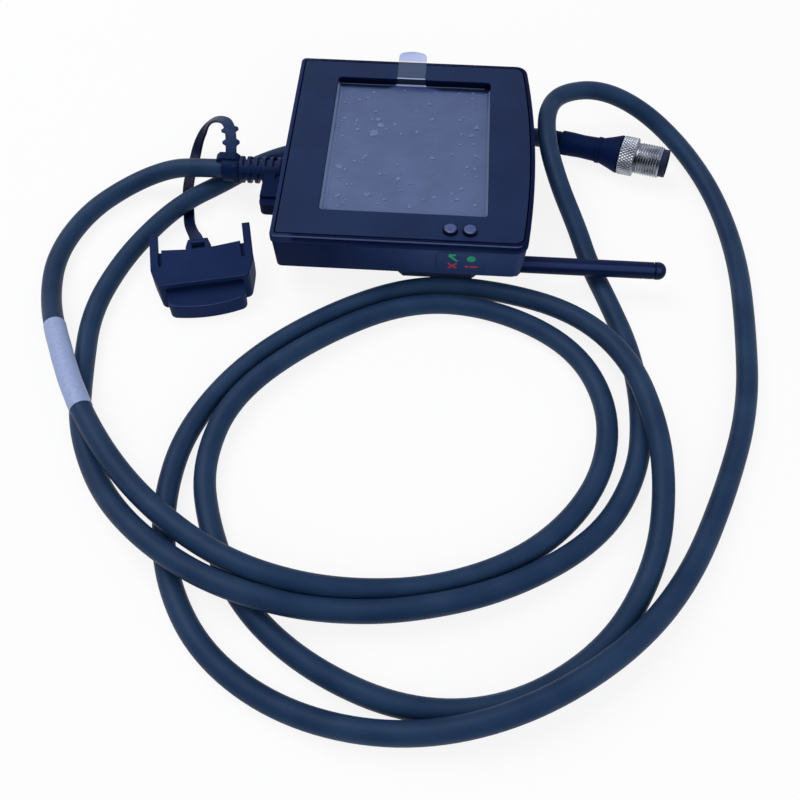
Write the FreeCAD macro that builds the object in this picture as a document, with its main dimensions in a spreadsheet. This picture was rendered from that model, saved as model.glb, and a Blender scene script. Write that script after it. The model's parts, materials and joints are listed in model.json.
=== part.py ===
"""Hand-size touch screen display with its cable, tethered clip, stylus and round connector.

The display lies face up on its two rear pads. +Z points out of the screen, X runs from the
cable wall to the curved wall that holds the stylus, and Y runs from the status lights to the
far side. The origin is the centre of the four rear mounting inserts, on the pads' faces.
Every length is in millimetres.
"""
import FreeCAD, Part
import os
import Sketcher
from math import asin, cos, degrees, pi, radians, sin, tan

Vector = FreeCAD.Vector
doc = FreeCAD.newDocument("touch_display")

# Driving dimensions, kept in the sheet under these names.
SIZES = {
    # Casing: outline, walls and heights
    "cable_wall_x": 57.0,
    "bezel_cable": 14.7,
    "bezel_curved": 15.8,
    "bezel_front": 12.7,
    "bezel_rear": 9.9,
    "curved_wall_radius": 380.0,
    "cable_corner_radius": 2.0,
    "curved_corner_radius": 4.5,
    "wall": 2.0,
    "floor": 2.0,
    "pad_height": 9.5,
    "cover_height": 12.3,
    "draft_angle": 2.5,
    "seal_height": 0.5,
    "seal_width": 1.0,
    "seal_inset": 0.9,
    "frame_overhang": 0.9,
    "flange_height": 1.2,
    "plate_height": 2.0,
    "rim_width": 1.5,
    "rim_round": 0.8,
    "parting_groove": 0.5,
    # Rear pads and their mounting inserts
    "pad_margin": 4.5,
    "pad_depth": 9.0,
    "pad_length": 32.8,
    "pad_chamfer": 4.0,
    "mount_spacing_x": 20.0,
    "mount_spacing_y": 72.0,
    "insert_radius": 2.8,
    "insert_bore": 1.25,
    "insert_length": 7.0,
    # Screen stack
    "window_length": 59.0,
    "window_width": 71.0,
    "window_round": 1.6,
    "panel_border_x": 2.25,
    "panel_border_y": 2.75,
    "panel_gap": 0.4,
    "gasket_height": 1.0,
    "touch_height": 1.4,
    "glass_height": 1.6,
    "backlight_height": 2.2,
    "film_height": 0.2,
    "film_margin": 0.5,
    "tab_base": 6.0,
    "tab_width": 10.9,
    "tab_x": -14.0,
    "tab_rise": 0.5,
    "tab_overhang": 3.0,
    # Boards
    "board_height": 1.6,
    "board_margin": 1.6,
    "post_radius": 3.0,
    "post_bore": 1.25,
    "post_inset_x": 6.0,
    "post_inset_front": 13.8,
    "post_inset_rear": 8.8,
    "screw_head_radius": 2.3,
    "screw_head_height": 1.4,
    "screw_radius": 1.2,
    "screw_length": 8.0,
    "standoff_radius": 2.5,
    "chip_size": 14.0,
    "chip_height": 1.4,
    # Status lights
    "light_x": 7.2,
    "light_pitch": 6.7,
    "light_inset": 5.4,
    "lens_radius": 2.35,
    "lens_rise": 1.5,
    "lens_round": 0.8,
    "pipe_radius": 1.5,
    "led_size": 2.0,
    "led_height": 0.8,
    # Stylus and its silo
    "stylus_inset": 4.8,
    "stylus_z": 11.0,
    "stylus_radius": 3.0,
    "stylus_length": 84.0,
    "stylus_out": 47.7,
    "stylus_head": 3.9,
    "stylus_neck": 0.6,
    "stylus_neck_radius": 2.5,
    "stylus_head_radius": 3.1,
    "stylus_tip": 7.0,
    "stylus_tip_radius": 0.6,
    "lanyard_hole_radius": 0.7,
    "lanyard_hole_inset": 7.5,
    "silo_clearance": 0.15,
    "silo_wall": 1.2,
    "silo_end_margin": 2.5,
    # Plug on the cable wall
    "plug_z": 13.0,
    "plug_gap": 0.6,
    "plug_centre_y": -10.4,
    "plug_width": 25.8,
    "plug_depth": 8.6,
    "plug_height": 5.6,
    "plug_round": 2.2,
    "plug_step": 0.9,
    "plug_lip": 3.6,
    "nose_width": 15.0,
    "nose_height": 2.6,
    "nose_reach": 9.0,
    "socket_width": 19.0,
    "socket_depth": 11.0,
    "port_clearance": 0.3,
    "clip_slot_width": 3.4,
    "clip_slot_height": 2.6,
    "relief_y": -3.3,
    "relief_reach": 18.9,
    "relief_radius": 4.95,
    "relief_core_radius": 3.75,
    "relief_rib": 1.3,
    "relief_ribs": 6,
    "relief_spine": 2.8,
    "relief_spine_turn": -45.0,
    # Cable, label and round connector
    "cable_radius": 3.5,
    "label_thickness": 0.15,
    "label_clearance": 0.05,
    "boot_x": 41.8,
    "boot_y": 29.6,
    "boot_z": 5.12,
    "boot_turn": -18.8,
    "boot_length": 28.5,
    "boot_neck_length": 4.5,
    "boot_neck_radius": 4.0,
    "boot_tail_radius": 4.6,
    "boot_waist_radius": 4.4,
    "boot_flange_radius": 7.2,
    "boot_ridge_at": 19.4,
    "boot_ridge_width": 1.4,
    "boot_ridge_rise": 0.6,
    "boot_tab_length": 3.2,
    "boot_tab_width": 2.6,
    "boot_tab_rise": 1.0,
    "nut_radius": 7.35,
    "nut_length": 6.3,
    "thread_radius": 6.0,
    "thread_length": 9.5,
    "nut_clearance": 0.08,
    "nut_end_gap": 0.3,
    "insert_carrier_radius": 5.2,
    "carrier_reach": 2.2,
    "carrier_wall": 0.9,
    "pin_radius": 0.5,
    "pin_circle": 2.75,
    "pin_count": 8,
    "pin_length": 6.5,
    # Tether and clip
    "band_width": 4.0,
    "band_thickness": 1.0,
    "band_at": 4.6,
    "buckle_length": 8.8,
    "buckle_width": 3.4,
    "buckle_height": 2.6,
    "buckle_top": 6.2,
    "buckle_y": -3.5,
    "buckle_z": 15.7,
    "strap_width": 4.1,
    "strap_thickness": 1.0,
    "clip_x": -80.7,
    "clip_y": -57.6,
    "clip_turn": 13.5,
    "clip_width": 36.0,
    "clip_front_width": 31.4,
    "clip_taper": 7.5,
    "clip_depth": 15.5,
    "clip_horn": 1.2,
    "clip_hollow": 9.8,
    "clip_height": 12.0,
    "clip_plate": 2.0,
    "clip_corner_round": 1.5,
    "clip_block_depth": 11.0,
    "clip_block_round": 5.0,
    "prong_width": 2.8,
    "prong_reach": 25.0,
    "prong_slot": 1.2,
    "prong_slot_end": 9.0,
    "prong_slot_depth": 1.5,
    "finger_width": 27.0,
    "finger_reach": 6.5,
    "finger_end_reach": 4.6,
    "finger_height": 7.8,
    "finger_slope": 2.0,
    "finger_round": 2.5,
    "finger_groove": 2.2,
    "finger_groove_depth": 4.0,
    "loop_width": 9.0,
    "loop_reach": 4.5,
    "loop_bar": 1.6,
    "loop_lean": 1.0,
    "loop_eye": 4.6,
    "loop_x": -0.9,
}

# Route of the cable's centre line, from the strain relief to the connector's boot.
CABLE_ROUTE = [
    (-75.9, -3.3, 13.0), (-90.5, -3.3, 13), (-104, -0.5, 9.2), (-119.5, -5, 4.5), (-133.5, -19, 3.5),
    (-140.5, -41, 3.5), (-137, -64, 5), (-125, -86, 11), (-110.5, -112, 12), (-92, -134.5, 11.5),
    (-69, -152.5, 11.5), (-47, -162.5, 11.5), (-22, -166, 6), (7.5, -160.5, 3.5), (35, -147, 3.5),
    (54, -124, 3.5), (59.5, -97, 3.5), (48, -72, 3.5), (20, -57, 3.5), (-10, -56.5, 3.5),
    (-41.5, -75, 3.5), (-65, -99, 3.5), (-70.5, -125, 3.5), (-65, -147, 3.5), (-53, -171, 3.5),
    (-30, -188.5, 3.5), (0, -197.5, 3.5), (28, -191.5, 3.5), (53, -174, 3.5), (69, -150, 3.5),
    (74.5, -125, 6), (73.5, -105, 11.5), (64, -82.5, 11.5), (46, -63, 7.5), (20, -48.5, 3.6),
    (-8, -47.5, 3.5), (-36, -61.5, 3.5), (-62.5, -83.5, 3.5), (-79, -111, 3.5), (-82.5, -138, 3.5),
    (-76, -164, 3.5), (-60, -187, 3.5), (-34, -202, 3.5), (-2, -207, 3.5), (30, -199, 5),
    (60, -180, 5), (80, -156, 3.5), (93, -124, 3.5), (104, -93, 3.5), (109.5, -59, 3.5),
    (110.5, -27, 3.5), (105.5, 4, 3.5), (94, 27, 6), (78, 42, 12), (61, 47.5, 16.5),
    (45, 43.5, 18.5), (38.5, 33, 18.5), (38.5, 14, 18.5), (44, -4, 14), (50.5, -20, 7.5),
    (55, -34, 3.5), (60, -50, 3.5), (67, -72, 3.5), (69.5, -97, 3.5), (66.5, -120, 3.5),
    (53, -143, 3.5), (26, -161.5, 3.5), (-3, -171.5, 3.5), (-27, -174, 4.5), (-46, -172.5, 11.5),
    (-66, -165, 11.5), (-86, -153, 11.5), (-102, -136, 7), (-115.5, -114, 3.5), (-118.5, -92, 3.5),
    (-121.5, -67, 3.5), (-116, -43, 3.5), (-106, -24, 4), (-96.5, -11.5, 5), (-85, -2, 4.2),
    (-74, 9, 3.5), (-60, 18, 3.5), (-38, 23.5, 3.5), (-14, 24, 3.5), (11.5, 23.2, 3.5),
    (23.5, 31.3, 3.6), (33, 32.6, 4.37), (41.8, 29.6, 5.12),
]

# Route of the tether strap's middle, from the buckle to the clip's loop.
STRAP_ROUTE = [
    (-79.7, 0.1, 17.2), (-79.8, 3.6, 19.6), (-80.7, 8.4, 21.5), (-82.6, 13.3, 21), (-85.7, 16.4, 19),
    (-89, 18.8, 16), (-92.2, 19.4, 12), (-95.2, 18, 8), (-97.4, 16, 4.5), (-98.4, 12.9, 2.4),
    (-99.1, 8, 1), (-99, 0.8, 0.6), (-98.1, -6, 0.6), (-96.4, -12.9, 0.6), (-94.9, -17.6, 0.9),
    (-92.9, -23.5, 3.9), (-90.5, -29.5, 7.2), (-88.3, -34.5, 8.8), (-86.2, -38.4, 9.35), (-85, -43.6, 9.4),
]


class Size:
    """A length with its number and the sheet expression that gives it."""

    def __init__(self, value, text):
        self.value = float(value)
        self.text = text

    def __add__(self, other):
        other = as_size(other)
        return Size(self.value + other.value, f"({self.text} + {other.text})")

    def __sub__(self, other):
        other = as_size(other)
        return Size(self.value - other.value, f"({self.text} - {other.text})")

    def __mul__(self, other):
        other = as_size(other)
        return Size(self.value * other.value, f"({self.text} * {other.text})")

    def __truediv__(self, other):
        other = as_size(other)
        return Size(self.value / other.value, f"({self.text} / {other.text})")

    def __neg__(self):
        return Size(-self.value, f"(0 - {self.text})")

    def __radd__(self, other):
        return as_size(other) + self

    def __rsub__(self, other):
        return as_size(other) - self


def as_size(length):
    return length if isinstance(length, Size) else Size(length, repr(float(length)))


def make_sheet():
    """Writes the driving dimensions to a sheet and returns them as bound sizes."""
    sheet = doc.addObject("Spreadsheet::Sheet", "Dims")
    bound = {}
    for row, (name, number) in enumerate(SIZES.items(), 1):
        sheet.set(f"A{row}", name)
        sheet.set(f"B{row}", str(number))
        sheet.setAlias(f"B{row}", name)
        bound[name] = Size(number, f"Dims.{name}")
    doc.recompute()
    return bound


D = make_sheet()

# Places that follow from the window, its bezels and the cable wall.
SCREEN_X = D["bezel_cable"] + D["window_length"] / 2 - D["cable_wall_x"]
SCREEN_Y = (D["bezel_front"] - D["bezel_rear"]) / 2
HALF_DEPTH = (D["window_width"] + D["bezel_front"] + D["bezel_rear"]) / 2
CURVED_WALL_X = SCREEN_X + D["window_length"] / 2 + D["bezel_curved"]
PANEL_LENGTH = D["window_length"] + D["panel_border_x"] * 2
PANEL_WIDTH = D["window_width"] + D["panel_border_y"] * 2
PAD_OUTER_Y = D["mount_spacing_y"] / 2 + D["pad_margin"]
LIGHT_Y = D["light_inset"] - HALF_DEPTH
STYLUS_Y = D["stylus_inset"] - HALF_DEPTH
STYLUS_END_X = CURVED_WALL_X + D["stylus_out"]
POST_FRONT_Y = D["post_inset_front"] - HALF_DEPTH
POST_REAR_Y = HALF_DEPTH - D["post_inset_rear"]
RELIEF_END_X = D["cable_wall_x"] + D["relief_reach"]
PLUG_X = -D["cable_wall_x"] - D["plug_gap"]

# Heights of the stack, from the pads' faces upwards.
FLOOR_Z = D["pad_height"]
INSIDE_Z = FLOOR_Z + D["floor"]
COVER_TOP_Z = FLOOR_Z + D["cover_height"]
FRAME_Z = COVER_TOP_Z + D["seal_height"]
PLATE_Z = FRAME_Z + D["flange_height"]
FACE_Z = PLATE_Z + D["plate_height"]
TOUCH_TOP_Z = PLATE_Z - D["gasket_height"]
TOUCH_Z = TOUCH_TOP_Z - D["touch_height"]
GLASS_Z = TOUCH_Z - D["glass_height"]
BACKLIGHT_Z = GLASS_Z - D["backlight_height"]
BOARD_Z = BACKLIGHT_Z - D["board_height"]

PARTS = []


def set_place(thing, x=0, y=0, z=0):
    for axis, length in (("x", x), ("y", y), ("z", z)):
        thing.setExpression(f"Placement.Base.{axis}", as_size(length).text)


def finish(thing, node):
    """Marks a finished sub-part and gives it the name of its node."""
    thing.Label = node
    PARTS.append(thing)
    return thing


def block(name, x, y, z):
    """A box from three pairs of bounds."""
    thing = doc.addObject("Part::Box", name)
    for side, (low, high) in (("Length", x), ("Width", y), ("Height", z)):
        thing.setExpression(side, (as_size(high) - low).text)
    set_place(thing, x[0], y[0], z[0])
    return thing


TURN = {
    "X": FreeCAD.Rotation(Vector(0, 1, 0), 90),
    "Y": FreeCAD.Rotation(Vector(1, 0, 0), -90),
    "Z": FreeCAD.Rotation(),
}


def rod(name, radius, length, x=0, y=0, z=0, along="Z"):
    """A cylinder whose first end stands at a point and which runs along an axis."""
    thing = doc.addObject("Part::Cylinder", name)
    thing.Placement = FreeCAD.Placement(Vector(), TURN[along])
    thing.setExpression("Radius", as_size(radius).text)
    thing.setExpression("Height", as_size(length).text)
    set_place(thing, x, y, z)
    return thing


def cone(name, radius, end_radius, length, x=0, y=0, z=0, along="Z"):
    """A cone whose first end stands at a point and which runs along an axis."""
    thing = doc.addObject("Part::Cone", name)
    thing.Placement = FreeCAD.Placement(Vector(), TURN[along])
    thing.setExpression("Radius1", as_size(radius).text)
    thing.setExpression("Radius2", as_size(end_radius).text)
    thing.setExpression("Height", as_size(length).text)
    set_place(thing, x, y, z)
    return thing


def join(name, things):
    thing = doc.addObject("Part::MultiFuse", name)
    thing.Shapes = things
    return thing


def cut(name, base, tools):
    thing = doc.addObject("Part::Cut", name)
    thing.Base = base
    thing.Tool = tools[0] if len(tools) == 1 else join(f"{name}_tools", tools)
    return thing


def group(name, things):
    """Several separate solids kept as one sub-part."""
    thing = doc.addObject("Part::Compound", name)
    thing.Links = things
    return thing


def sketch_on(body, name, role, offset=0):
    """An empty sketch on one of a body's origin planes, raised by an offset."""
    plane = next(item for item in body.Origin.OriginFeatures if item.Role == role)
    sketch = body.newObject("Sketcher::SketchObject", name)
    sketch.AttachmentSupport = (plane, [""])
    sketch.MapMode = "FlatFace"
    sketch.setExpression("AttachmentOffset.Base.z", as_size(offset).text)
    return sketch


def pin_point(sketch, edge, x, y):
    """Ties the start of an edge to two bound coordinates."""
    for kind, length in (("DistanceX", x), ("DistanceY", y)):
        length = as_size(length)
        number = sketch.addConstraint(Sketcher.Constraint(kind, -1, 1, edge, 1, length.value))
        sketch.setExpression(f"Constraints[{number}]", length.text)


def outline(sketch, corners, arcs=None):
    """A closed outline through bound corners; arcs maps an edge to its radius, bulging outwards."""
    arcs = arcs or {}
    edges = []
    points = [Vector(as_size(x).value, as_size(y).value, 0) for x, y in corners]
    for place, start in enumerate(points):
        end = points[(place + 1) % len(points)]
        line = Part.LineSegment(start, end)
        if place in arcs:
            half = (end - start) / 2
            rise = arcs[place].value - (arcs[place].value ** 2 - half.Length ** 2) ** 0.5
            outwards = Vector(half.y, -half.x, 0).normalize()
            line = Part.Arc(start, start + half + outwards * rise, end)
        edges.append(sketch.addGeometry(line, False))
    for place, edge in enumerate(edges):
        following = edges[(place + 1) % len(edges)]
        sketch.addConstraint(Sketcher.Constraint("Coincident", edge, 2, following, 1))
    for edge, (x, y) in zip(edges, corners):
        pin_point(sketch, edge, x, y)
    for place, radius in arcs.items():
        number = sketch.addConstraint(Sketcher.Constraint("Radius", edges[place], radius.value))
        sketch.setExpression(f"Constraints[{number}]", radius.text)


def hole(sketch, x, y, radius):
    """A circle at a bound centre with a bound radius."""
    x, y, radius = as_size(x), as_size(y), as_size(radius)
    circle = Part.Circle(Vector(x.value, y.value, 0), Vector(0, 0, 1), radius.value)
    edge = sketch.addGeometry(circle, False)
    for kind, length in (("DistanceX", x), ("DistanceY", y)):
        number = sketch.addConstraint(Sketcher.Constraint(kind, -1, 1, edge, 3, length.value))
        sketch.setExpression(f"Constraints[{number}]", length.text)
    number = sketch.addConstraint(Sketcher.Constraint("Radius", edge, radius.value))
    sketch.setExpression(f"Constraints[{number}]", radius.text)


def rectangle(sketch, x, y):
    outline(sketch, [(x[0], y[0]), (x[1], y[0]), (x[1], y[1]), (x[0], y[1])])


def pad(body, sketch, length, downwards=False):
    feature = body.newObject("PartDesign::Pad", f"{sketch.Name}_pad")
    feature.Profile = sketch
    feature.setExpression("Length", as_size(length).text)
    feature.Reversed = downwards
    doc.recompute()
    return feature


def pocket(body, sketch, depth, upwards=False):
    """A pocket that has to take material away."""
    before = body.Shape.Volume
    feature = body.newObject("PartDesign::Pocket", f"{sketch.Name}_pocket")
    feature.Profile = sketch
    feature.setExpression("Length", as_size(depth).text)
    feature.Reversed = upwards
    doc.recompute()
    if body.Shape.Volume >= before:
        raise RuntimeError(f"{sketch.Name} cuts nothing")
    return feature


def round_edges(body, name, radius, wanted):
    """Rounds the edges of a body whose two ends satisfy a test."""
    base = body.Tip
    edges = []
    for place, edge in enumerate(base.Shape.Edges, 1):
        if wanted(edge.firstVertex().Point, edge.lastVertex().Point):
            edges.append(f"Edge{place}")
    feature = body.newObject("PartDesign::Fillet", name)
    feature.Base = (base, edges)
    feature.setExpression("Radius", as_size(radius).text)
    doc.recompute()
    return feature


def upright(start, end):
    return abs(start.z - end.z) > 0.3 and (start - end).Length < abs(start.z - end.z) * 1.2


def new_body(name):
    return doc.addObject("PartDesign::Body", name)


def casing_outline(grow):
    """Corners of the casing's outline, and the radius of its curved wall, grown by a margin."""
    left = -(D["cable_wall_x"] + grow)
    depth = HALF_DEPTH + grow
    radius = D["curved_wall_radius"]
    sag = Size(0, f"({radius.text} - sqrt({radius.text}^2 - {depth.text}^2))")
    sag.value = radius.value - (radius.value ** 2 - depth.value ** 2) ** 0.5
    right = CURVED_WALL_X + grow - sag
    corners = [(left, -depth), (right, -depth), (right, depth), (left, depth)]
    return corners, {1: radius}


def casing_block(body, name, grow, low, height, corner_trim=0):
    """A prism of the casing's outline with its four upright corners rounded."""
    corners, arcs = casing_outline(grow)
    sketch = sketch_on(body, name, "XY_Plane", low)
    outline(sketch, corners, arcs)
    feature = pad(body, sketch, height)
    round_corners(body, name, corner_trim)
    return feature


def round_corners(body, name, trim):
    cable_side = D["cable_corner_radius"] - trim
    curved_side = D["curved_corner_radius"] - trim
    round_edges(body, f"{name}_cable_corners", cable_side, lambda a, b: upright(a, b) and a.x < 0)
    round_edges(body, f"{name}_curved_corners", curved_side, lambda a, b: upright(a, b) and a.x > 0)


def casing_solid(name, grow, low, height, trim):
    """A casing-shaped prism of its own, for cutting or joining."""
    body = new_body(name)
    casing_block(body, f"{name}_outline", grow, low, height, trim)
    return body


def post_centres():
    """The four case screws, clear of the screen and of the stylus."""
    left = D["post_inset_x"] - D["cable_wall_x"]
    right = CURVED_WALL_X - D["post_inset_x"] - D["post_radius"] / 3
    return [(x, y) for x in (left, right) for y in (POST_FRONT_Y, POST_REAR_Y)]


def insert_centres():
    half_x, half_y = D["mount_spacing_x"] / 2, D["mount_spacing_y"] / 2
    return [(x, y) for x in (-half_x, half_x) for y in (-half_y, half_y)]


def light_centres():
    half = D["light_pitch"] / 2
    return [D["light_x"] - half, D["light_x"] + half]


def window_bounds(margin=0):
    half_x, half_y = D["window_length"] / 2 + margin, D["window_width"] / 2 + margin
    x = (SCREEN_X - half_x, SCREEN_X + half_x)
    y = (SCREEN_Y - half_y, SCREEN_Y + half_y)
    return x, y


def panel_bounds(margin=0):
    half_x, half_y = PANEL_LENGTH / 2 + margin, PANEL_WIDTH / 2 + margin
    x = (SCREEN_X - half_x, SCREEN_X + half_x)
    y = (SCREEN_Y - half_y, SCREEN_Y + half_y)
    return x, y


def silo_start():
    return D["silo_end_margin"] + D["wall"] - D["cable_wall_x"]


def make_rear_cover():
    """Drafted tray with rear pads, a stylus silo, screw bosses, standoffs and the plug's port."""
    body = new_body("cover_tray")
    corners, arcs = casing_outline(0)
    sketch = sketch_on(body, "cover_outline", "XY_Plane", FLOOR_Z)
    outline(sketch, corners, arcs)
    shell = body.newObject("PartDesign::Pad", "cover_shell")
    shell.Profile = sketch
    shell.setExpression("Length", D["cover_height"].text)
    shell.setExpression("TaperAngle", D["draft_angle"].text)
    doc.recompute()
    round_corners(body, "cover", 0)

    cavity = casing_solid("cover_cavity", -D["wall"], INSIDE_Z, D["cover_height"], 1.2)
    tray = cut("cover_hollow", body, [cavity])

    pieces = [tray]
    for side in (-1, 1):
        pieces.append(make_pad(side))
    silo_radius = D["stylus_radius"] + D["silo_clearance"] + D["silo_wall"]
    silo_length = CURVED_WALL_X - silo_start()
    silo = rod("silo", silo_radius, silo_length, silo_start(), STYLUS_Y, D["stylus_z"], "X")
    inner = casing_solid("silo_trim", -D["wall"] / 2, 0, COVER_TOP_Z, 1.2)
    trimmed = doc.addObject("Part::Common", "silo_trimmed")
    trimmed.Base = silo
    trimmed.Tool = inner
    pieces.append(trimmed)
    post_foot = BOARD_Z - D["panel_gap"] - INSIDE_Z
    for number, (x, y) in enumerate(post_centres()):
        pieces.append(rod(f"boss_{number}", D["post_radius"], post_foot / 2, x, y, INSIDE_Z))
    for number, (x, y) in enumerate(standoff_centres()):
        pieces.append(rod(f"standoff_{number}", D["standoff_radius"], BOARD_Z - INSIDE_Z, x, y, INSIDE_Z))
    solid = join("cover_solid", pieces)

    tools = [make_silo_bore()]
    head = D["screw_head_height"] + 0.3
    for number, (x, y) in enumerate(post_centres()):
        head_hole = D["screw_head_radius"] + D["port_clearance"]
        shank_hole = D["screw_radius"] + D["port_clearance"]
        tools.append(rod(f"head_hole_{number}", head_hole, head, x, y, FLOOR_Z))
        tools.append(rod(f"shank_hole_{number}", shank_hole, D["cover_height"], x, y, FLOOR_Z))
    for number, (x, y) in enumerate(insert_centres()):
        tools.append(rod(f"insert_hole_{number}", D["insert_radius"], D["insert_length"], x, y, 0))
    tools.extend(make_port_cuts())
    return finish(cut("rear_cover", solid, tools), "rear_cover")


def make_pad(side):
    """One rear pad: a block under the floor whose outer corners are cut at 45 degrees."""
    body = new_body("pad_front" if side < 0 else "pad_rear")
    half, chamfer = D["pad_length"] / 2, D["pad_chamfer"]
    outer = PAD_OUTER_Y * side
    shoulder = (PAD_OUTER_Y - chamfer) * side
    inner = (PAD_OUTER_Y - D["pad_depth"]) * side
    corners = [(half, inner), (half, shoulder), (half - chamfer, outer)]
    corners += [(chamfer - half, outer), (-half, shoulder), (-half, inner)]
    sketch = sketch_on(body, f"{body.Name}_outline", "XY_Plane")
    outline(sketch, corners)
    pad(body, sketch, INSIDE_Z)
    return body


def standoff_centres():
    """Board supports under the middle of each long side of the screen."""
    x, y = panel_bounds()
    inset = D["standoff_radius"] * 2
    return [(x[0] + inset, y[1] - inset), (x[1] - inset, y[1] - inset), (SCREEN_X, y[0] + inset)]


def make_silo_bore():
    bore = D["stylus_radius"] + D["silo_clearance"]
    start = silo_start() + D["silo_wall"]
    length = CURVED_WALL_X + D["wall"] - start
    return rod("silo_bore", bore, length, start, STYLUS_Y, D["stylus_z"], "X")


def make_port_cuts():
    """The plug's port and the two slots that take the clip's prongs, in the cable wall."""
    gap = D["port_clearance"]
    x = (-D["cable_wall_x"] - D["wall"], D["wall"] * 2 - D["cable_wall_x"])
    half_y = D["nose_width"] / 2 + gap
    half_z = D["nose_height"] / 2 + gap
    y = (D["plug_centre_y"] - half_y, D["plug_centre_y"] + half_y)
    cuts = [block("port", x, y, (D["plug_z"] - half_z, D["plug_z"] + half_z))]
    reach = (D["clip_width"] - D["prong_width"]) / 2
    for number, side in enumerate((-1, 1)):
        middle = D["plug_centre_y"] + reach * side
        y = (middle - D["clip_slot_width"] / 2, middle + D["clip_slot_width"] / 2)
        z = (D["plug_z"] - D["clip_slot_height"] / 2, D["plug_z"] + D["clip_slot_height"] / 2)
        cuts.append(block(f"clip_slot_{number}", x, y, z))
    return cuts


def make_case_seal():
    """Flat ring pressed between the tray's wall and the front frame."""
    grow = D["frame_overhang"] - D["seal_inset"]
    outer = casing_solid("seal_outer", grow, COVER_TOP_Z, D["seal_height"], 0)
    inner = casing_solid("seal_inner", grow - D["seal_width"], COVER_TOP_Z, D["seal_height"], 1)
    return finish(cut("case_seal", outer, [inner]), "case_seal")


def make_front_frame():
    """Rim round the face, with the flange that carries the plate and the four screw posts."""
    height = D["flange_height"] + D["plate_height"]
    rim = new_body("frame_rim")
    casing_block(rim, "frame_outline", D["frame_overhang"], FRAME_Z, height)
    top = FACE_Z.value
    round_edges(rim, "frame_rolled_edge", D["rim_round"],
                lambda a, b: abs(a.z - top) < 0.01 and abs(b.z - top) < 0.01)
    grow = D["frame_overhang"] - D["rim_width"]
    seat = casing_solid("plate_seat", grow, PLATE_Z, D["plate_height"], 1)
    posts = []
    post_foot = BOARD_Z - D["panel_gap"] - INSIDE_Z
    post_z = INSIDE_Z + post_foot / 2
    for number, (x, y) in enumerate(post_centres()):
        posts.append(rod(f"post_{number}", D["post_radius"], FRAME_Z - post_z, x, y, post_z))
    x, y = panel_bounds(D["panel_gap"])
    tools = [seat, block("stack_hole", x, y, (FRAME_Z, PLATE_Z))]
    for number, x in enumerate(light_centres()):
        pipe_hole = D["pipe_radius"] + D["panel_gap"]
        tools.append(rod(f"pipe_hole_{number}", pipe_hole, height, x, LIGHT_Y, FRAME_Z))
    for number, (x, y) in enumerate(post_centres()):
        tools.append(rod(f"post_bore_{number}", D["post_bore"], D["screw_length"], x, y, post_z))
    solid = join("frame_solid", [rim] + posts)
    return finish(cut("front_frame", solid, tools), "front_frame")


def make_front_plate():
    """Face plate with the screen's window and the two light holes."""
    body = new_body("plate_body")
    grow = D["frame_overhang"] - D["rim_width"] - D["parting_groove"]
    casing_block(body, "plate_outline", grow, PLATE_Z, D["plate_height"], 1.4)
    window = sketch_on(body, "window", "XY_Plane", FACE_Z)
    rectangle(window, *window_bounds())
    pocket(body, window, D["plate_height"])
    x, y = window_bounds(1)
    inside = [length.value for length in x + y]
    round_edges(body, "window_corners", D["window_round"],
                lambda a, b: upright(a, b) and inside[0] < a.x < inside[1] and inside[2] < a.y < inside[3])
    lights = sketch_on(body, "light_holes", "XY_Plane", FACE_Z)
    for x in light_centres():
        hole(lights, x, LIGHT_Y, D["lens_radius"] + 0.15)
    pocket(body, lights, D["plate_height"])
    return finish(body, "front_plate")


def make_screen_stack():
    """Gasket, touch panel, display glass, backlight tray and the film with its pull tab."""
    panel_x, panel_y = panel_bounds()
    slab = block("gasket_slab", panel_x, panel_y, (TOUCH_TOP_Z, PLATE_Z))
    window_x, window_y = window_bounds(0.2)
    opening = block("gasket_opening", window_x, window_y, (TOUCH_TOP_Z, PLATE_Z))
    finish(cut("screen_gasket", slab, [opening]), "screen_gasket")
    finish(block("touch_panel", panel_x, panel_y, (TOUCH_Z, TOUCH_TOP_Z)), "touch_panel")
    glass_x, glass_y = panel_bounds(-0.8)
    finish(block("display_glass", glass_x, glass_y, (GLASS_Z, TOUCH_Z)), "display_glass")
    finish(block("backlight_tray", panel_x, panel_y, (BACKLIGHT_Z, GLASS_Z)), "backlight_tray")


def make_film():
    """Thin film on the screen, with a tab that climbs over the plate and past the rim."""
    x, y = window_bounds(-D["film_margin"])
    thickness = D["film_height"]
    tab_y = y[1] - D["tab_base"]
    sheet = block("film_sheet", x, (y[0], tab_y + 1), (TOUCH_TOP_Z, TOUCH_TOP_Z + thickness))
    half = D["tab_width"] / 2
    tab_x = (D["tab_x"] - half, D["tab_x"] + half)
    rim_y = HALF_DEPTH + D["frame_overhang"]
    heights = [(tab_y, TOUCH_TOP_Z), (y[1] + 0.2, FACE_Z + D["tab_rise"]),
               (rim_y + D["tab_overhang"], FACE_Z + D["tab_rise"] * 3)]
    body = new_body("film_tab")
    sketch = sketch_on(body, "film_tab_side", "YZ_Plane", tab_x[0])
    lower = heights
    upper = [(side_y, side_z + thickness * 1.5) for side_y, side_z in reversed(heights)]
    outline(sketch, lower + upper)
    pad(body, sketch, D["tab_width"])
    shoulders = block("film_shoulders", x, (tab_y, y[1]), (TOUCH_TOP_Z, TOUCH_TOP_Z + thickness))
    return finish(join("protective_film", [sheet, shoulders, body]), "protective_film")


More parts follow.
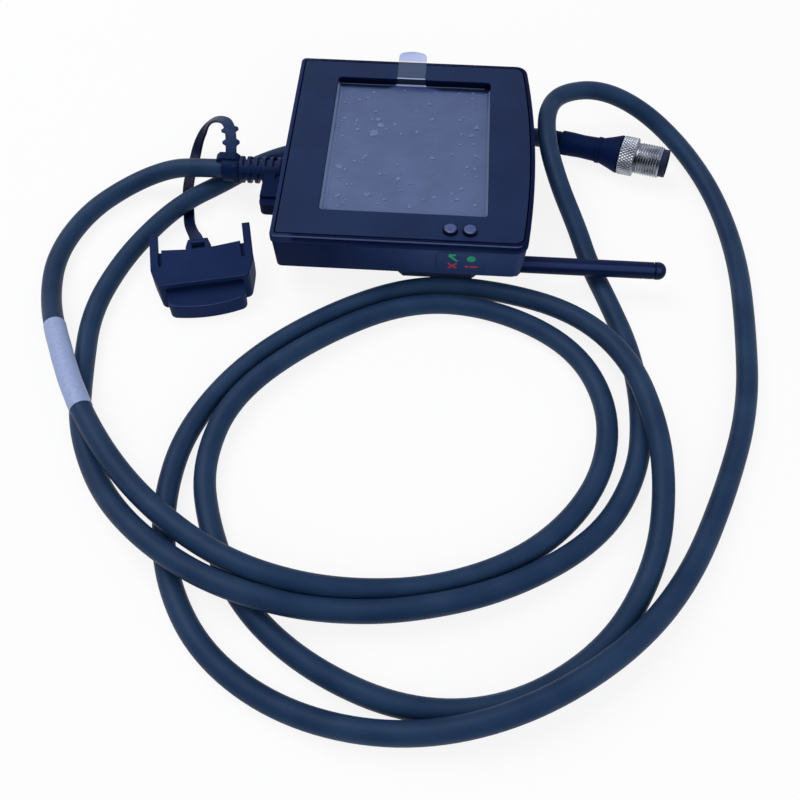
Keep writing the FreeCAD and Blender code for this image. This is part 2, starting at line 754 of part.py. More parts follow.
def make_board():
    """Main board, notched for the posts, with chips on its underside and the two lamps."""
    margin = D["wall"] + D["board_margin"]
    body = new_body("board_body")
    casing_block(body, "board_outline", -margin, BOARD_Z, D["board_height"], 1.4)
    notches = []
    reach = D["post_radius"] + D["panel_gap"]
    for number, (x, y) in enumerate(post_centres()):
        notches.append(rod(f"board_notch_{number}", reach, D["board_height"], x, y, BOARD_Z))
    finish(cut("main_board", body, notches), "main_board")

    chips = []
    size = D["chip_size"]
    for number, (across, along, share) in enumerate(((-0.5, 0.9, 0.5), (1.2, 1.0, 0.35), (0.8, -1.0, 0.3))):
        span = size * share
        chip_x = (SCREEN_X + size * across - span, SCREEN_X + size * across + span)
        chip_y = (SCREEN_Y + size * along - span, SCREEN_Y + size * along + span)
        chips.append(block(f"chip_{number}", chip_x, chip_y, (BOARD_Z - D["chip_height"], BOARD_Z)))
    finish(group("board_chips", chips), "board_chips")

    lamps = []
    half = D["led_size"] / 2
    y = (LIGHT_Y - half, LIGHT_Y + half)
    for number, x in enumerate(light_centres()):
        top = BACKLIGHT_Z + D["led_height"]
        lamps.append(block(f"lamp_{number}", (x - half, x + half), y, (BACKLIGHT_Z, top)))
    finish(group("status_lamps", lamps), "status_lamps")


def make_lenses():
    """Domed status lenses, each on a light pipe that stands on its lamp."""
    lenses = []
    low = BACKLIGHT_Z + D["led_height"]
    for number, x in enumerate(light_centres()):
        pipe = rod(f"pipe_{number}", D["pipe_radius"], PLATE_Z - low, x, LIGHT_Y, low)
        head = new_body(f"lens_head_{number}")
        sketch = sketch_on(head, f"lens_circle_{number}", "XY_Plane", PLATE_Z)
        hole(sketch, x, LIGHT_Y, D["lens_radius"])
        pad(head, sketch, D["plate_height"] + D["lens_rise"])
        top = (FACE_Z + D["lens_rise"]).value
        round_edges(head, f"lens_dome_{number}", D["lens_round"],
                    lambda a, b: abs(a.z - top) < 0.01 and abs(b.z - top) < 0.01)
        lenses.append(join(f"lens_{number}", [pipe, head]))
    finish(group("status_lenses", lenses), "status_lenses")


def make_fasteners():
    """Case screws from below, and the brass inserts in the rear pads."""
    screws = []
    for number, (x, y) in enumerate(post_centres()):
        head_z = FLOOR_Z + 0.3
        head = rod(f"screw_head_{number}", D["screw_head_radius"], D["screw_head_height"], x, y, head_z)
        shank_z = head_z + D["screw_head_height"]
        shank = rod(f"screw_shank_{number}", D["screw_radius"], D["screw_length"], x, y, shank_z)
        socket = rod(f"screw_socket_{number}", D["screw_radius"] * 0.8, D["screw_head_height"] / 2,
                     x, y, head_z)
        screws.append(cut(f"screw_{number}", join(f"screw_solid_{number}", [head, shank]), [socket]))
    finish(group("case_screws", screws), "case_screws")

    inserts = []
    for number, (x, y) in enumerate(insert_centres()):
        barrel = rod(f"insert_{number}_barrel", D["insert_radius"], D["insert_length"], x, y, 0)
        bore = rod(f"insert_{number}_bore", D["insert_bore"], D["insert_length"], x, y, 0)
        inserts.append(cut(f"insert_{number}", barrel, [bore]))
    finish(group("mount_inserts", inserts), "mount_inserts")


def make_socket_and_plug():
    """Board socket behind the cable wall, and the moulded plug with its metal nose."""
    gap = D["port_clearance"]
    inner_x = D["wall"] - D["cable_wall_x"]
    half_y = D["socket_width"] / 2
    y = (D["plug_centre_y"] - half_y, D["plug_centre_y"] + half_y)
    z = (INSIDE_Z, BOARD_Z)
    shell = block("socket_shell", (inner_x, inner_x + D["socket_depth"]), y, z)
    half_y = D["nose_width"] / 2 + gap / 3
    half_z = D["nose_height"] / 2 + gap / 3
    mouth_y = (D["plug_centre_y"] - half_y, D["plug_centre_y"] + half_y)
    mouth_z = (D["plug_z"] - half_z, D["plug_z"] + half_z)
    mouth_x = (inner_x, inner_x + D["socket_depth"] - 1)
    finish(cut("cable_socket", shell, [block("socket_mouth", mouth_x, mouth_y, mouth_z)]), "cable_socket")

    half_y = D["nose_width"] / 2
    half_z = D["nose_height"] / 2
    nose_y = (D["plug_centre_y"] - half_y, D["plug_centre_y"] + half_y)
    nose_z = (D["plug_z"] - half_z, D["plug_z"] + half_z)
    nose_x = (PLUG_X, D["nose_reach"] - D["cable_wall_x"])
    finish(block("plug_nose", nose_x, nose_y, nose_z), "plug_nose")
    make_plug_body()
    make_strain_relief()


def make_plug_body():
    """Moulded plug: rounded block with a stepped front end and a hub round the strain relief."""
    half_y = D["plug_width"] / 2
    near_x = PLUG_X
    far_x = near_x - D["plug_depth"]
    low_y = D["plug_centre_y"] - half_y
    high_y = D["plug_centre_y"] + half_y
    low_z = D["plug_z"] - D["plug_height"] / 2
    body = new_body("plug_block")
    sketch = sketch_on(body, "plug_outline", "XY_Plane", low_z)
    rectangle(sketch, (far_x, near_x), (low_y, high_y))
    pad(body, sketch, D["plug_height"])
    middle = (far_x + D["plug_depth"] / 2).value
    round_edges(body, "plug_corners", D["plug_round"], lambda a, b: upright(a, b) and a.x < middle)
    lip = sketch_on(body, "plug_lip_cut", "XY_Plane", low_z + D["plug_height"])
    rectangle(lip, (far_x - 1, near_x + 1), (low_y - 1, low_y + D["plug_lip"]))
    pocket(body, lip, D["plug_step"])
    notch = sketch_on(body, "plug_notch", "XY_Plane", low_z + D["plug_height"])
    notch_y = D["relief_y"] - D["relief_radius"]
    rectangle(notch, (near_x - D["plug_depth"] / 2, near_x), (notch_y - 2, notch_y + 2))
    pocket(body, notch, D["plug_step"])
    hub_length = D["plug_depth"] / 3
    hub = rod("plug_hub", D["relief_radius"], hub_length, near_x - hub_length,
              D["relief_y"], D["plug_z"], "X")
    trough = rod("plug_trough", D["relief_radius"], D["plug_depth"], far_x - hub_length,
                 D["relief_y"], D["plug_z"], "X")
    return finish(join("plug_body", [cut("plug_hollow", body, [trough]), hub]), "plug_body")


def make_strain_relief():
    """Segmented strain relief: a core with evenly spaced ribs and two spines that join them."""
    hub_length = D["plug_depth"] / 3
    start = -RELIEF_END_X
    length = PLUG_X - hub_length - start
    y, z = D["relief_y"], D["plug_z"]
    pieces = [rod("relief_core", D["relief_core_radius"], length, start, y, z, "X")]
    pitch = (length - D["relief_rib"]) / (D["relief_ribs"] - 1)
    for number in range(int(D["relief_ribs"].value)):
        rib_x = start + pitch * number
        pieces.append(rod(f"relief_rib_{number}", D["relief_radius"], D["relief_rib"], rib_x, y, z, "X"))
    half = D["relief_spine"] / 2
    reach = D["relief_radius"]
    envelope = rod("relief_envelope", reach, length, start, y, z, "X")
    slab = doc.addObject("Part::Box", "relief_slab")
    turn = SIZES["relief_spine_turn"]
    slab.Placement = FreeCAD.Placement(Vector(), FreeCAD.Rotation(Vector(1, 0, 0), turn))
    slab.setExpression("Length", length.text)
    slab.setExpression("Width", (reach * 2).text)
    slab.setExpression("Height", (half * 2).text)
    low_y = y - reach * cos(radians(turn)) + half * sin(radians(turn))
    low_z = z - reach * sin(radians(turn)) - half * cos(radians(turn))
    set_place(slab, start, low_y, low_z)
    spine = doc.addObject("Part::Common", "relief_spines")
    spine.Base = envelope
    spine.Tool = slab
    pieces.append(spine)
    return finish(join("strain_relief", pieces), "strain_relief")


def rounded_path(route, show=""):
    """Straight runs joined by tangent arcs as large as the runs allow, as a list of edges."""
    points = [Vector(*point) for point in route]
    edges = []
    arcs = []
    radii = []
    last = points[0]
    for before, corner, after in zip(points, points[1:], points[2:]):
        back = (before - corner).normalize()
        ahead = (after - corner).normalize()
        turn = pi - back.getAngle(ahead)
        reach = 0.45 * min((before - corner).Length, (after - corner).Length)
        radius = reach / tan(turn / 2)
        start, end = corner + back * reach, corner + ahead * reach
        inwards = (back + ahead).normalize()
        middle = corner + inwards * (radius / cos(turn / 2) - radius)
        edges.append(Part.LineSegment(last, start).toShape())
        arcs.append(len(edges))
        edges.append(Part.Arc(start, middle, end).toShape())
        radii.append(radius)
        last = end
    edges.append(Part.LineSegment(last, points[-1]).toShape())
    if show:
        print(f"{show}: radii", " ".join(f"{radius:.0f}" for radius in radii))
    return edges, arcs


def swept_circle(edges, radius):
    """A round solid along a smooth path, checked against its section times its length."""
    wire = Part.Wire(edges)
    start = edges[0].firstVertex(True).Point
    along = edges[0].tangentAt(edges[0].FirstParameter)
    section = Part.Wire(Part.Circle(start, along, radius).toShape())
    pipe = wire.makePipeShell([section], True, False)
    ideal = pi * radius ** 2 * wire.Length
    if abs(pipe.Volume - ideal) > 0.02 * ideal:
        raise RuntimeError("a swept tube lost volume")
    return pipe, wire.Length


def make_cable():
    """The cable's tube, and the paper label wrapped round one stretch of it."""
    radius = SIZES["cable_radius"]
    edges, arcs = rounded_path(CABLE_ROUTE, "cable")
    tube, length = swept_circle(edges, radius)
    print(f"cable: {length:.0f} mm long")
    cable = doc.addObject("Part::Feature", "cable")
    cable.Shape = tube
    finish(cable, "cable")

    # The label lies on the rise between the route's sixth corner and its eighth.
    wrapped = edges[arcs[5]:arcs[7]]
    bore = radius + SIZES["label_clearance"]
    sleeve, _ = swept_circle(wrapped, bore + SIZES["label_thickness"])
    hollow, _ = swept_circle(wrapped, bore)
    label = doc.addObject("Part::Feature", "cable_label")
    label.Shape = sleeve.cut(hollow)
    finish(label, "cable_label")


def connector_place():
    """Where the round connector lies: turned on the table and tipped up by the nut it rests on."""
    rise = SIZES["nut_radius"] + 0.1 - SIZES["boot_z"]
    tip = degrees(asin(rise / (SIZES["boot_length"] + SIZES["nut_end_gap"])))
    turn = FreeCAD.Rotation(Vector(0, 0, 1), SIZES["boot_turn"])
    lift = FreeCAD.Rotation(Vector(0, 1, 0), -tip)
    base = Vector(SIZES["boot_x"], SIZES["boot_y"], SIZES["boot_z"])
    axis = turn.multVec(lift.multVec(Vector(1, 0, 0)))
    print(f"connector axis {axis.x:.5f} {axis.y:.5f} {axis.z:.5f}")
    return FreeCAD.Placement(base, turn.multiply(lift))


def place_connector(thing, node, place):
    """Puts a connector piece, built along +X from the boot's tail, where the connector lies."""
    carrier = doc.addObject("Part::Feature", node)
    doc.recompute()
    carrier.Shape = thing.Shape.copy()
    carrier.Placement = place.multiply(thing.Placement)
    return finish(carrier, node)


def make_boot():
    """Trumpet-shaped boot, turned from one profile with a ridge and two small tail tabs."""
    body = new_body("boot_body")
    sketch = sketch_on(body, "boot_profile", "XY_Plane")
    neck, neck_end = D["boot_neck_radius"], D["boot_neck_length"]
    tail, waist, flange = D["boot_tail_radius"], D["boot_waist_radius"], D["boot_flange_radius"]
    ridge_start = D["boot_ridge_at"]
    ridge_end = ridge_start + D["boot_ridge_width"]
    ridge = waist + D["boot_ridge_rise"]
    length = D["boot_length"]
    flare = length - ridge_end
    swell = flange - waist
    corners = [(0, 0), (length, 0), (length, flange), (length - flare * 0.06, flange),
               (length - flare * 0.5, waist + swell * 0.56),
               (ridge_end, waist + swell * 0.12), (ridge_end, ridge), (ridge_start, ridge),
               (ridge_start, waist + swell * 0.08), (ridge_start - flare * 0.8, waist),
               (neck_end + D["boot_tab_length"] * 1.5, tail), (neck_end + (tail - neck), tail),
               (neck_end, neck), (0, neck)]
    outline(sketch, corners)
    turned = body.newObject("PartDesign::Revolution", "boot_turned")
    turned.Profile = sketch
    turned.ReferenceAxis = (sketch, ["H_Axis"])
    turned.Angle = 360
    doc.recompute()
    tab_x = (neck_end + (tail - neck), neck_end + (tail - neck) + D["boot_tab_length"])
    tab_y = tail + D["boot_tab_rise"]
    half = D["boot_tab_width"] / 2
    tabs = block("boot_tabs", tab_x, (-tab_y, tab_y), (-half, half))
    return join("boot_solid", [body, tabs])


def make_connector():
    """Boot, spinning coupling nut, pin carrier, pins and O-ring of the round connector."""
    place = connector_place()
    place_connector(make_boot(), "connector_boot", place)

    start = D["boot_length"] + D["nut_end_gap"]
    bore = D["insert_carrier_radius"] + D["nut_clearance"]
    grip = rod("nut_grip", D["nut_radius"], D["nut_length"] - 0.6, start, 0, 0, "X")
    chamfer = cone("nut_chamfer", D["nut_radius"], D["thread_radius"], 0.6,
                   start + D["nut_length"] - 0.6, 0, 0, "X")
    thread_start = start + D["nut_length"]
    thread = rod("nut_thread", D["thread_radius"], D["thread_length"], thread_start, 0, 0, "X")
    through = rod("nut_bore", bore, D["nut_length"] + D["thread_length"], start, 0, 0, "X")
    nut = cut("nut_solid", join("nut_outer", [grip, chamfer, thread]), [through])
    place_connector(nut, "coupling_nut", place)

    reach = D["nut_end_gap"] + D["nut_length"] + D["thread_length"] + D["carrier_reach"]
    sleeve = rod("carrier_sleeve", D["insert_carrier_radius"], reach, D["boot_length"], 0, 0, "X")
    mouth_start = D["boot_length"] + reach - D["pin_length"] - 1
    mouth_radius = D["insert_carrier_radius"] - D["carrier_wall"]
    mouth = rod("carrier_mouth", mouth_radius, D["pin_length"] + 1, mouth_start, 0, 0, "X")
    key = block("carrier_key", (mouth_start, mouth_start + D["pin_length"]),
                (-0.5, 0.5), (mouth_radius - 0.7, mouth_radius + 0.2))
    carrier = join("carrier_solid", [cut("carrier_cup", sleeve, [mouth]), key])
    place_connector(carrier, "pin_carrier", place)

    pins = []
    ring = int(D["pin_count"].value) - 1
    centres = [(0.0, 0.0)]
    for number in range(ring):
        angle = 2 * pi * (number + 0.5) / ring
        centres.append((D["pin_circle"] * sin(angle), D["pin_circle"] * cos(angle)))
    for number, (y, z) in enumerate(centres):
        pins.append(rod(f"pin_{number}", D["pin_radius"], D["pin_length"], mouth_start, y, z, "X"))
    place_connector(group("pin_group", pins), "connector_pins", place)


def make_stylus():
    """Round stylus: barrel with a lanyard hole, a necked ball end and a tapered tip."""
    end = STYLUS_END_X
    neck_x = end - D["stylus_head"] - D["stylus_neck"]
    start = end - D["stylus_length"]
    barrel_x = start + D["stylus_tip"]
    y, z = STYLUS_Y, D["stylus_z"]
    barrel = rod("barrel_rod", D["stylus_radius"], neck_x - barrel_x, barrel_x, y, z, "X")
    drill = doc.addObject("Part::Cylinder", "lanyard_drill")
    drill.setExpression("Radius", D["lanyard_hole_radius"].text)
    drill.setExpression("Height", (D["stylus_radius"] * 2).text)
    drill.Placement = FreeCAD.Placement(Vector(), FreeCAD.Rotation(Vector(1, 0, 0), 130))
    set_place(drill, end - D["lanyard_hole_inset"], y, z)
    finish(cut("stylus_barrel", barrel, [drill]), "stylus_barrel")

    head_x = end - D["stylus_head"]
    neck = rod("stylus_neck", D["stylus_neck_radius"], D["stylus_neck"], neck_x, y, z, "X")
    radius = D["stylus_head_radius"]
    ball = rod("ball_rod", radius, D["stylus_head"], head_x, y, z, "X")
    rounded = doc.addObject("Part::Fillet", "ball_rounded")
    rounded.Base = ball
    doc.recompute()
    far = end.value
    rounded.Edges = [(place, radius.value * 0.9, radius.value * 0.9)
                     for place, edge in enumerate(ball.Shape.Edges, 1)
                     if abs(edge.firstVertex().Point.x - far) < 0.01
                     and abs(edge.lastVertex().Point.x - far) < 0.01]
    finish(join("stylus_end", [neck, rounded]), "stylus_end")
    tip = cone("stylus_tip", D["stylus_tip_radius"], D["stylus_radius"] - 0.4, D["stylus_tip"],
               start, y, z, "X")
    finish(tip, "stylus_tip")


def make_tether():
    """Band and buckle round the cable, and the flat strap that leads to the clip."""
    radius = D["cable_radius"] + D["label_clearance"]
    outer = radius + D["band_thickness"]
    band_x = -RELIEF_END_X - D["band_at"] - D["band_width"] / 2
    y, z = D["relief_y"], D["plug_z"]
    ring = rod("band_ring", outer, D["band_width"], band_x, y, z, "X")
    middle_x = band_x + D["band_width"] / 2
    half, top = D["buckle_length"] / 2, D["buckle_top"] / 2
    low_z, high_z = D["buckle_z"], D["buckle_z"] + D["buckle_height"]
    shoulder = low_z + D["buckle_height"] / 2
    buckle = new_body("buckle")
    hat = sketch_on(buckle, "buckle_hat", "XZ_Plane", -(D["buckle_y"] + D["buckle_width"]))
    outline(hat, [(middle_x - half, low_z), (middle_x + half, low_z), (middle_x + half, shoulder),
                  (middle_x + top, high_z), (middle_x - top, high_z), (middle_x - half, shoulder)])
    pad(buckle, hat, D["buckle_width"])
    through = rod("band_bore", radius, D["buckle_length"] + 2, middle_x - half - 1, y, z, "X")
    solid = join("band_solid", [ring, buckle])
    finish(cut("tether_band", solid, [through]), "tether_band")

    edges, _ = rounded_path(STRAP_ROUTE, "strap")
    wire = Part.Wire(edges)
    half_width = SIZES["strap_width"] / 2
    half_height = SIZES["strap_thickness"] / 2
    start = edges[0].firstVertex(True).Point
    along = edges[0].tangentAt(edges[0].FirstParameter)
    rise = Vector(0, 0, 1)
    across = along.cross(rise).normalize()
    corners = []
    for side, lift in ((-1, -1), (1, -1), (1, 1), (-1, 1), (-1, -1)):
        corners.append(start + across * half_width * side + rise * half_height * lift)
    builder = Part.BRepOffsetAPI.MakePipeShell(wire)
    builder.setBiNormalMode(rise)
    builder.add(Part.makePolygon(corners))
    builder.build()
    builder.makeSolid()
    strap = doc.addObject("Part::Feature", "tether_strap")
    strap.Shape = builder.shape()
    print(f"strap: {wire.Length:.0f} mm long")
    finish(strap, "tether_strap")


def make_clip():
    """Retaining clip: plate with two prongs, a grip block, a finger ledge and a strap loop."""
    body = new_body("clip_body")
    half, front = D["clip_width"] / 2, D["clip_front_width"] / 2
    inner = half - D["prong_width"]
    slot = inner - D["prong_slot"]
    depth, reach = D["clip_depth"], D["prong_reach"]
    plate_z = D["clip_height"] - D["clip_plate"]
    taper, horn, hollow = D["clip_taper"], depth + D["clip_horn"], D["clip_hollow"] / 2
    plate = sketch_on(body, "clip_plate", "XY_Plane", plate_z)
    outline(plate, [(-front, 0), (front, 0), (half, taper), (half, reach), (inner, reach), (inner, horn),
                    (hollow, depth), (-hollow, depth), (-inner, horn), (-inner, reach), (-half, reach),
                    (-half, taper)])
    pad(body, plate, D["clip_plate"])
    grip = sketch_on(body, "clip_grip", "XY_Plane")
    deep = D["clip_block_depth"]
    outline(grip, [(-front, 0), (front, 0), (half, taper), (half, deep), (-half, deep), (-half, taper)])
    pad(body, grip, plate_z + 0.5)
    inside = (front - 0.5).value
    reached = (taper + 0.5).value
    round_edges(body, "clip_corners", D["clip_corner_round"],
                lambda a, b: upright(a, b) and abs(a.x) > inside and a.y < reached)
    slits = sketch_on(body, "clip_slits", "XY_Plane", D["clip_height"])
    rectangle(slits, (slot, inner), (D["prong_slot_end"], horn + 1))
    rectangle(slits, (-inner, -slot), (D["prong_slot_end"], horn + 1))
    pocket(body, slits, D["prong_slot_depth"])
    heels = sketch_on(body, "clip_heels", "XZ_Plane", 1)
    rounding = D["clip_block_round"]
    outline(heels, [(half - rounding, 0), (half, rounding), (half + 1, rounding), (half + 1, -1),
                    (half - rounding, -1)], {0: rounding * 1.0})
    pocket(body, heels, deep + 2)
    heels = sketch_on(body, "clip_other_heels", "XZ_Plane", 1)
    outline(heels, [(-half, rounding), (rounding - half, 0), (rounding - half, -1), (-half - 1, -1),
                    (-half - 1, rounding)], {0: rounding * 1.0})
    pocket(body, heels, deep + 2)
    groove = sketch_on(body, "clip_groove", "XZ_Plane")
    span = D["finger_width"] / 2
    groove_z = plate_z - D["finger_groove"]
    rectangle(groove, (-span, span), (groove_z, plate_z))
    pocket(body, groove, D["finger_groove_depth"])
    ledge = sketch_on(body, "clip_finger", "XY_Plane")
    end_reach = D["finger_end_reach"]
    chord = span.value
    sag = SIZES["finger_reach"] - SIZES["finger_end_reach"]
    bow = Size((chord ** 2 + sag ** 2) / (2 * sag),
               f"(({span.text})^2 + (Dims.finger_reach - Dims.finger_end_reach)^2)"
               " / (2 * (Dims.finger_reach - Dims.finger_end_reach))")
    outline(ledge, [(-span, -end_reach), (span, -end_reach), (span, 1), (-span, 1)], {0: bow})
    pad(body, ledge, D["finger_height"])
    turned = (-end_reach + 0.5).value
    round_edges(body, "clip_finger_corners", D["finger_round"],
                lambda a, b: upright(a, b) and a.y < turned)
    slope = sketch_on(body, "clip_finger_slope", "YZ_Plane", -D["clip_width"])
    tip, high = D["finger_reach"] + 1, D["finger_height"]
    outline(slope, [(-tip, high - D["finger_slope"]), (0, high), (0, high + 1), (-tip, high + 1)])
    pocket(body, slope, D["clip_width"] * 2, True)
    loop = sketch_on(body, "clip_loop", "XY_Plane", plate_z)
    left, right = D["loop_x"] - D["loop_width"] / 2, D["loop_x"] + D["loop_width"] / 2
    lean, far = D["loop_lean"], depth + D["loop_reach"]
    outline(loop, [(left, depth - 1), (right, depth - 1), (right, depth + 1), (right - lean, far),
                   (left + lean, far), (left, depth + 1)])
    pad(body, loop, D["clip_plate"])
    eye = sketch_on(body, "clip_eye", "XY_Plane", D["clip_height"])
    eye_half = D["loop_eye"] / 2
    rectangle(eye, (D["loop_x"] - eye_half, D["loop_x"] + eye_half), (depth, far - D["loop_bar"]))
    pocket(body, eye, D["clip_plate"])
    turn = D["clip_turn"]
    body.Placement = FreeCAD.Placement(Vector(), FreeCAD.Rotation(Vector(0, 0, 1), turn.value))
    set_place(body, D["clip_x"], D["clip_y"], 0)
    return finish(body, "retaining_clip")


def check_and_write():
    """Stops on any failed object, then writes one STEP file for each sub-part."""
    doc.recompute()
    for thing in doc.Objects:
        if "Invalid" in thing.State or "Error" in thing.State:
            raise RuntimeError(f"{thing.Label} failed: {thing.State}")
    os.makedirs("parts", exist_ok=True)
    for thing in PARTS:
        shape = thing.Shape
        if shape.isNull() or not shape.isValid():
            raise RuntimeError(f"{thing.Label} has no valid shape")
        shape.exportStep(f"parts/{thing.Label}.step")
        print(f"{thing.Label}: {len(shape.Solids)} solid, {shape.Volume:.0f} mm3")


make_rear_cover()
make_case_seal()
make_front_frame()
make_front_plate()
make_screen_stack()
make_film()
make_board()
make_lenses()
make_fasteners()
make_socket_and_plug()
make_cable()
make_connector()
make_stylus()
make_tether()
make_clip()
check_and_write()
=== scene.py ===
# %% [markdown]
# # A touch screen display with its cable
#
# The real object is a hand-size display for a machine. It has a moulded case with a touch
# screen, two status lights and a stylus, a plug with a long cable, a round connector at the
# cable's end, and a clip that hangs on a strap.
#
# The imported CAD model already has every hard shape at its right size. This lesson loads it
# as a fixed frame, gives each node a finish, and adds the pieces that plain solids can't
# show well: the cable's soft line, the knurl and the thread, the film and its air bubbles.

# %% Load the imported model
import json
import math
import random

import bmesh
import bpy
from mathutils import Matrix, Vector
from mathutils.bvhtree import BVHTree


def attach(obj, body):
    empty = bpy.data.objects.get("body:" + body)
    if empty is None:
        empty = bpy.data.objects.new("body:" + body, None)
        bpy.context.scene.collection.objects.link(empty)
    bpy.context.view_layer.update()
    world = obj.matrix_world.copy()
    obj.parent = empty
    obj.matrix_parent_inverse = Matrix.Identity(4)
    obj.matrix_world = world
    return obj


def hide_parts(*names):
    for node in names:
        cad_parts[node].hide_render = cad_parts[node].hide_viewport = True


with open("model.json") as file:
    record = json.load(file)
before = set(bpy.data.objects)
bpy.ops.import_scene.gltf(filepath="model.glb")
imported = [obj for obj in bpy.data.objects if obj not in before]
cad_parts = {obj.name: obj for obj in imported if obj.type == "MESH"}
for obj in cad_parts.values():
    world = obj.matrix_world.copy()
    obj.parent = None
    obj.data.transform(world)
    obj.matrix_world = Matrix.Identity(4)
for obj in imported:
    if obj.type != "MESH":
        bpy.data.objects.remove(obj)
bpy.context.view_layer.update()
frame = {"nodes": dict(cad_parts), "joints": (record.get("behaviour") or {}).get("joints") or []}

MM = 0.001
nodes = frame["nodes"]

# %% [markdown]
# ## The camera
#
# The photograph looks down at the display from its front side, about 57 degrees above the
# table. A camera could be turned by hand until it fits. Here its place was worked out from
# the casing's straight edges, so the render and the photograph lie on top of each other.

# %% Set the camera
CAMERA_PLACE = Vector((1.51, -268.12, 265.16)) * MM
CAMERA_AIM = Vector((-9.85, -94.76, 0.0)) * MM


def add_object(name, data):
    """A new object in the scene, which shows a mesh, a curve, a camera or a lamp."""
    thing = bpy.data.objects.new(name, data)
    bpy.context.scene.collection.objects.link(thing)
    return thing


def turn_to(thing, place, aim):
    """Puts a camera or a lamp at a place and turns it to its aim, both in metres."""
    thing.location = place
    thing.rotation_euler = (Vector(aim) - Vector(place)).to_track_quat("-Z", "Y").to_euler()


table_camera = add_object("table_camera", bpy.data.cameras.new("table_camera"))
table_camera.data.sensor_width = 36
table_camera.data.lens = 42.75
table_camera.data.clip_start = 0.01
turn_to(table_camera, CAMERA_PLACE, CAMERA_AIM)
bpy.context.scene.camera = table_camera
print(f"camera {(CAMERA_AIM - CAMERA_PLACE).length:.3f} m from its aim")

# %% [markdown]
# ## The cable's line
#
# The cable is a round lead 7 mm thick and a little over two metres long. It leaves the plug,
# lies in loose turns in front of the display, crosses itself in low humps, and runs under the
# case to the connector. It could be a swept tube, but that has straight runs and round
# corners, like bent wire. A NURBS spline with the route's corners as its control points has
# no straight run in it, and bends as a soft cord does.

# %% Trace the cable's route
CABLE_DIAMETER = 7.0
CABLE_ROUTE = [
    (-75.9, -3.3, 13.0), (-90.5, -3.3, 13), (-104, -0.4, 9.2), (-119.5, -5, 4.5),
    (-132.9, -19.8, 3.5), (-139.3, -41.6, 3.5), (-135.4, -63.9, 5), (-124.8, -86, 11),
    (-111, -112, 12), (-92.5, -135.2, 11.5), (-69.4, -153.6, 11.5), (-46.9, -163.9, 11.5),
    (-22, -165.7, 6), (7.5, -161.6, 3.5), (35.7, -148.2, 3.5), (54.7, -124.6, 3.5),
    (59.5, -97, 3.5), (48.4, -71.3, 3.5), (20, -56, 3.5), (-10, -55.8, 4), (-41.6, -75.3, 4.8),
    (-64.8, -99.9, 5.2), (-70.3, -125.4, 4.2), (-64.4, -147, 3.5), (-52, -170, 3.5),
    (-29.7, -187.8, 3.5), (0, -198.4, 3.5), (28.8, -194.8, 3.5), (55, -176.6, 3.5),
    (70, -150.3, 3.5), (74.1, -125, 6), (71.9, -105.5, 11.5), (65.0, -80.6, 11.5),
    (48.2, -59.2, 7.5), (20, -47.8, 3.6), (-8, -47.5, 3.5), (-36, -61.5, 3.5),
    (-62.1, -83.9, 3.5), (-77.6, -111.3, 3.5), (-80.3, -137.9, 3.5), (-74.6, -163.9, 3.5),
    (-59.4, -186.4, 3.5), (-33.8, -201.1, 3.5), (-2.1, -205.6, 5.5), (29, -198.5, 9),
    (58, -179.8, 9), (78.4, -155.7, 5), (93.4, -124.1, 3.5), (104.3, -93, 3.5),
    (107.9, -59.1, 3.5), (109.1, -27.6, 3.5), (104.6, 3.4, 3.5), (94, 27, 6), (78, 42, 12),
    (61, 47.5, 16.5), (45.7, 42.2, 18.5), (39.1, 32.5, 18.5), (38.5, 14, 18.5),
    (43.3, -4.3, 14), (50.5, -20, 7.5), (55, -34, 3.5), (60.5, -49.7, 3.5), (67.3, -72, 3.5),
    (69.5, -97, 3.5), (66.5, -120, 3.5), (53.3, -143.3, 3.5), (25.8, -161.9, 5.6),
    (-3.1, -170.7, 6.6), (-27, -172.3, 7), (-45.9, -171.2, 11.5), (-66.1, -164.4, 11.5),
    (-85.6, -152.1, 11.5), (-101.2, -135.3, 7), (-113.1, -113.1, 3.5), (-116.9, -91.9, 3.5),
    (-120, -67.5, 3.5), (-114.9, -43.9, 3.5), (-105.5, -24.5, 4), (-95.9, -12.5, 5),
    (-84.9, -2.5, 4.2), (-74, 9, 3.5), (-60, 17.7, 3.5), (-38, 23.5, 3.5), (-14, 24, 3.5),
    (11.5, 23.2, 3.5), (23.5, 31.3, 3.6), (33, 32.6, 4.37), (41.8, 29.6, 5.12),
]
print(f"cable's route: {len(CABLE_ROUTE)} control points")

# %% [markdown]
# Blender bends the spline, gives it its round section, and hands back the points along it.
# The label follows those points, so that it sits right on the cable.

# %% Lay the cable
def soft_line(name, route, steps=10):
    """A curve with one open NURBS spline, whose control points are a route in millimetres.

    Steps is how many points Blender draws from one control point to the next.
    """
    curve = bpy.data.curves.new(name, "CURVE")
    curve.dimensions = "3D"
    spline = curve.splines.new("NURBS")
    spline.points.add(len(route) - 1)
    for point, corner in zip(spline.points, route):
        point.co = (*(Vector(corner) * MM), 1)
    # Set after the points are there: before them, the order would stay at 2, straight runs.
    spline.order_u = 3
    spline.use_endpoint_u = True
    spline.resolution_u = steps
    return curve


def read_line(curve):
    """Points along a curve's spline, as Blender gives them with the bevel off."""
    bare = curve.copy()
    bare.bevel_depth = 0
    holder = bpy.data.objects.new("bare_line", bare)
    mesh = bpy.data.meshes.new_from_object(holder)
    points = [vertex.co.copy() for vertex in mesh.vertices]
    bpy.data.objects.remove(holder)
    bpy.data.meshes.remove(mesh)
    bpy.data.curves.remove(bare)
    return points


def line_length(points):
    """Length along a row of points."""
    return sum((after - before).length for before, after in zip(points, points[1:]))


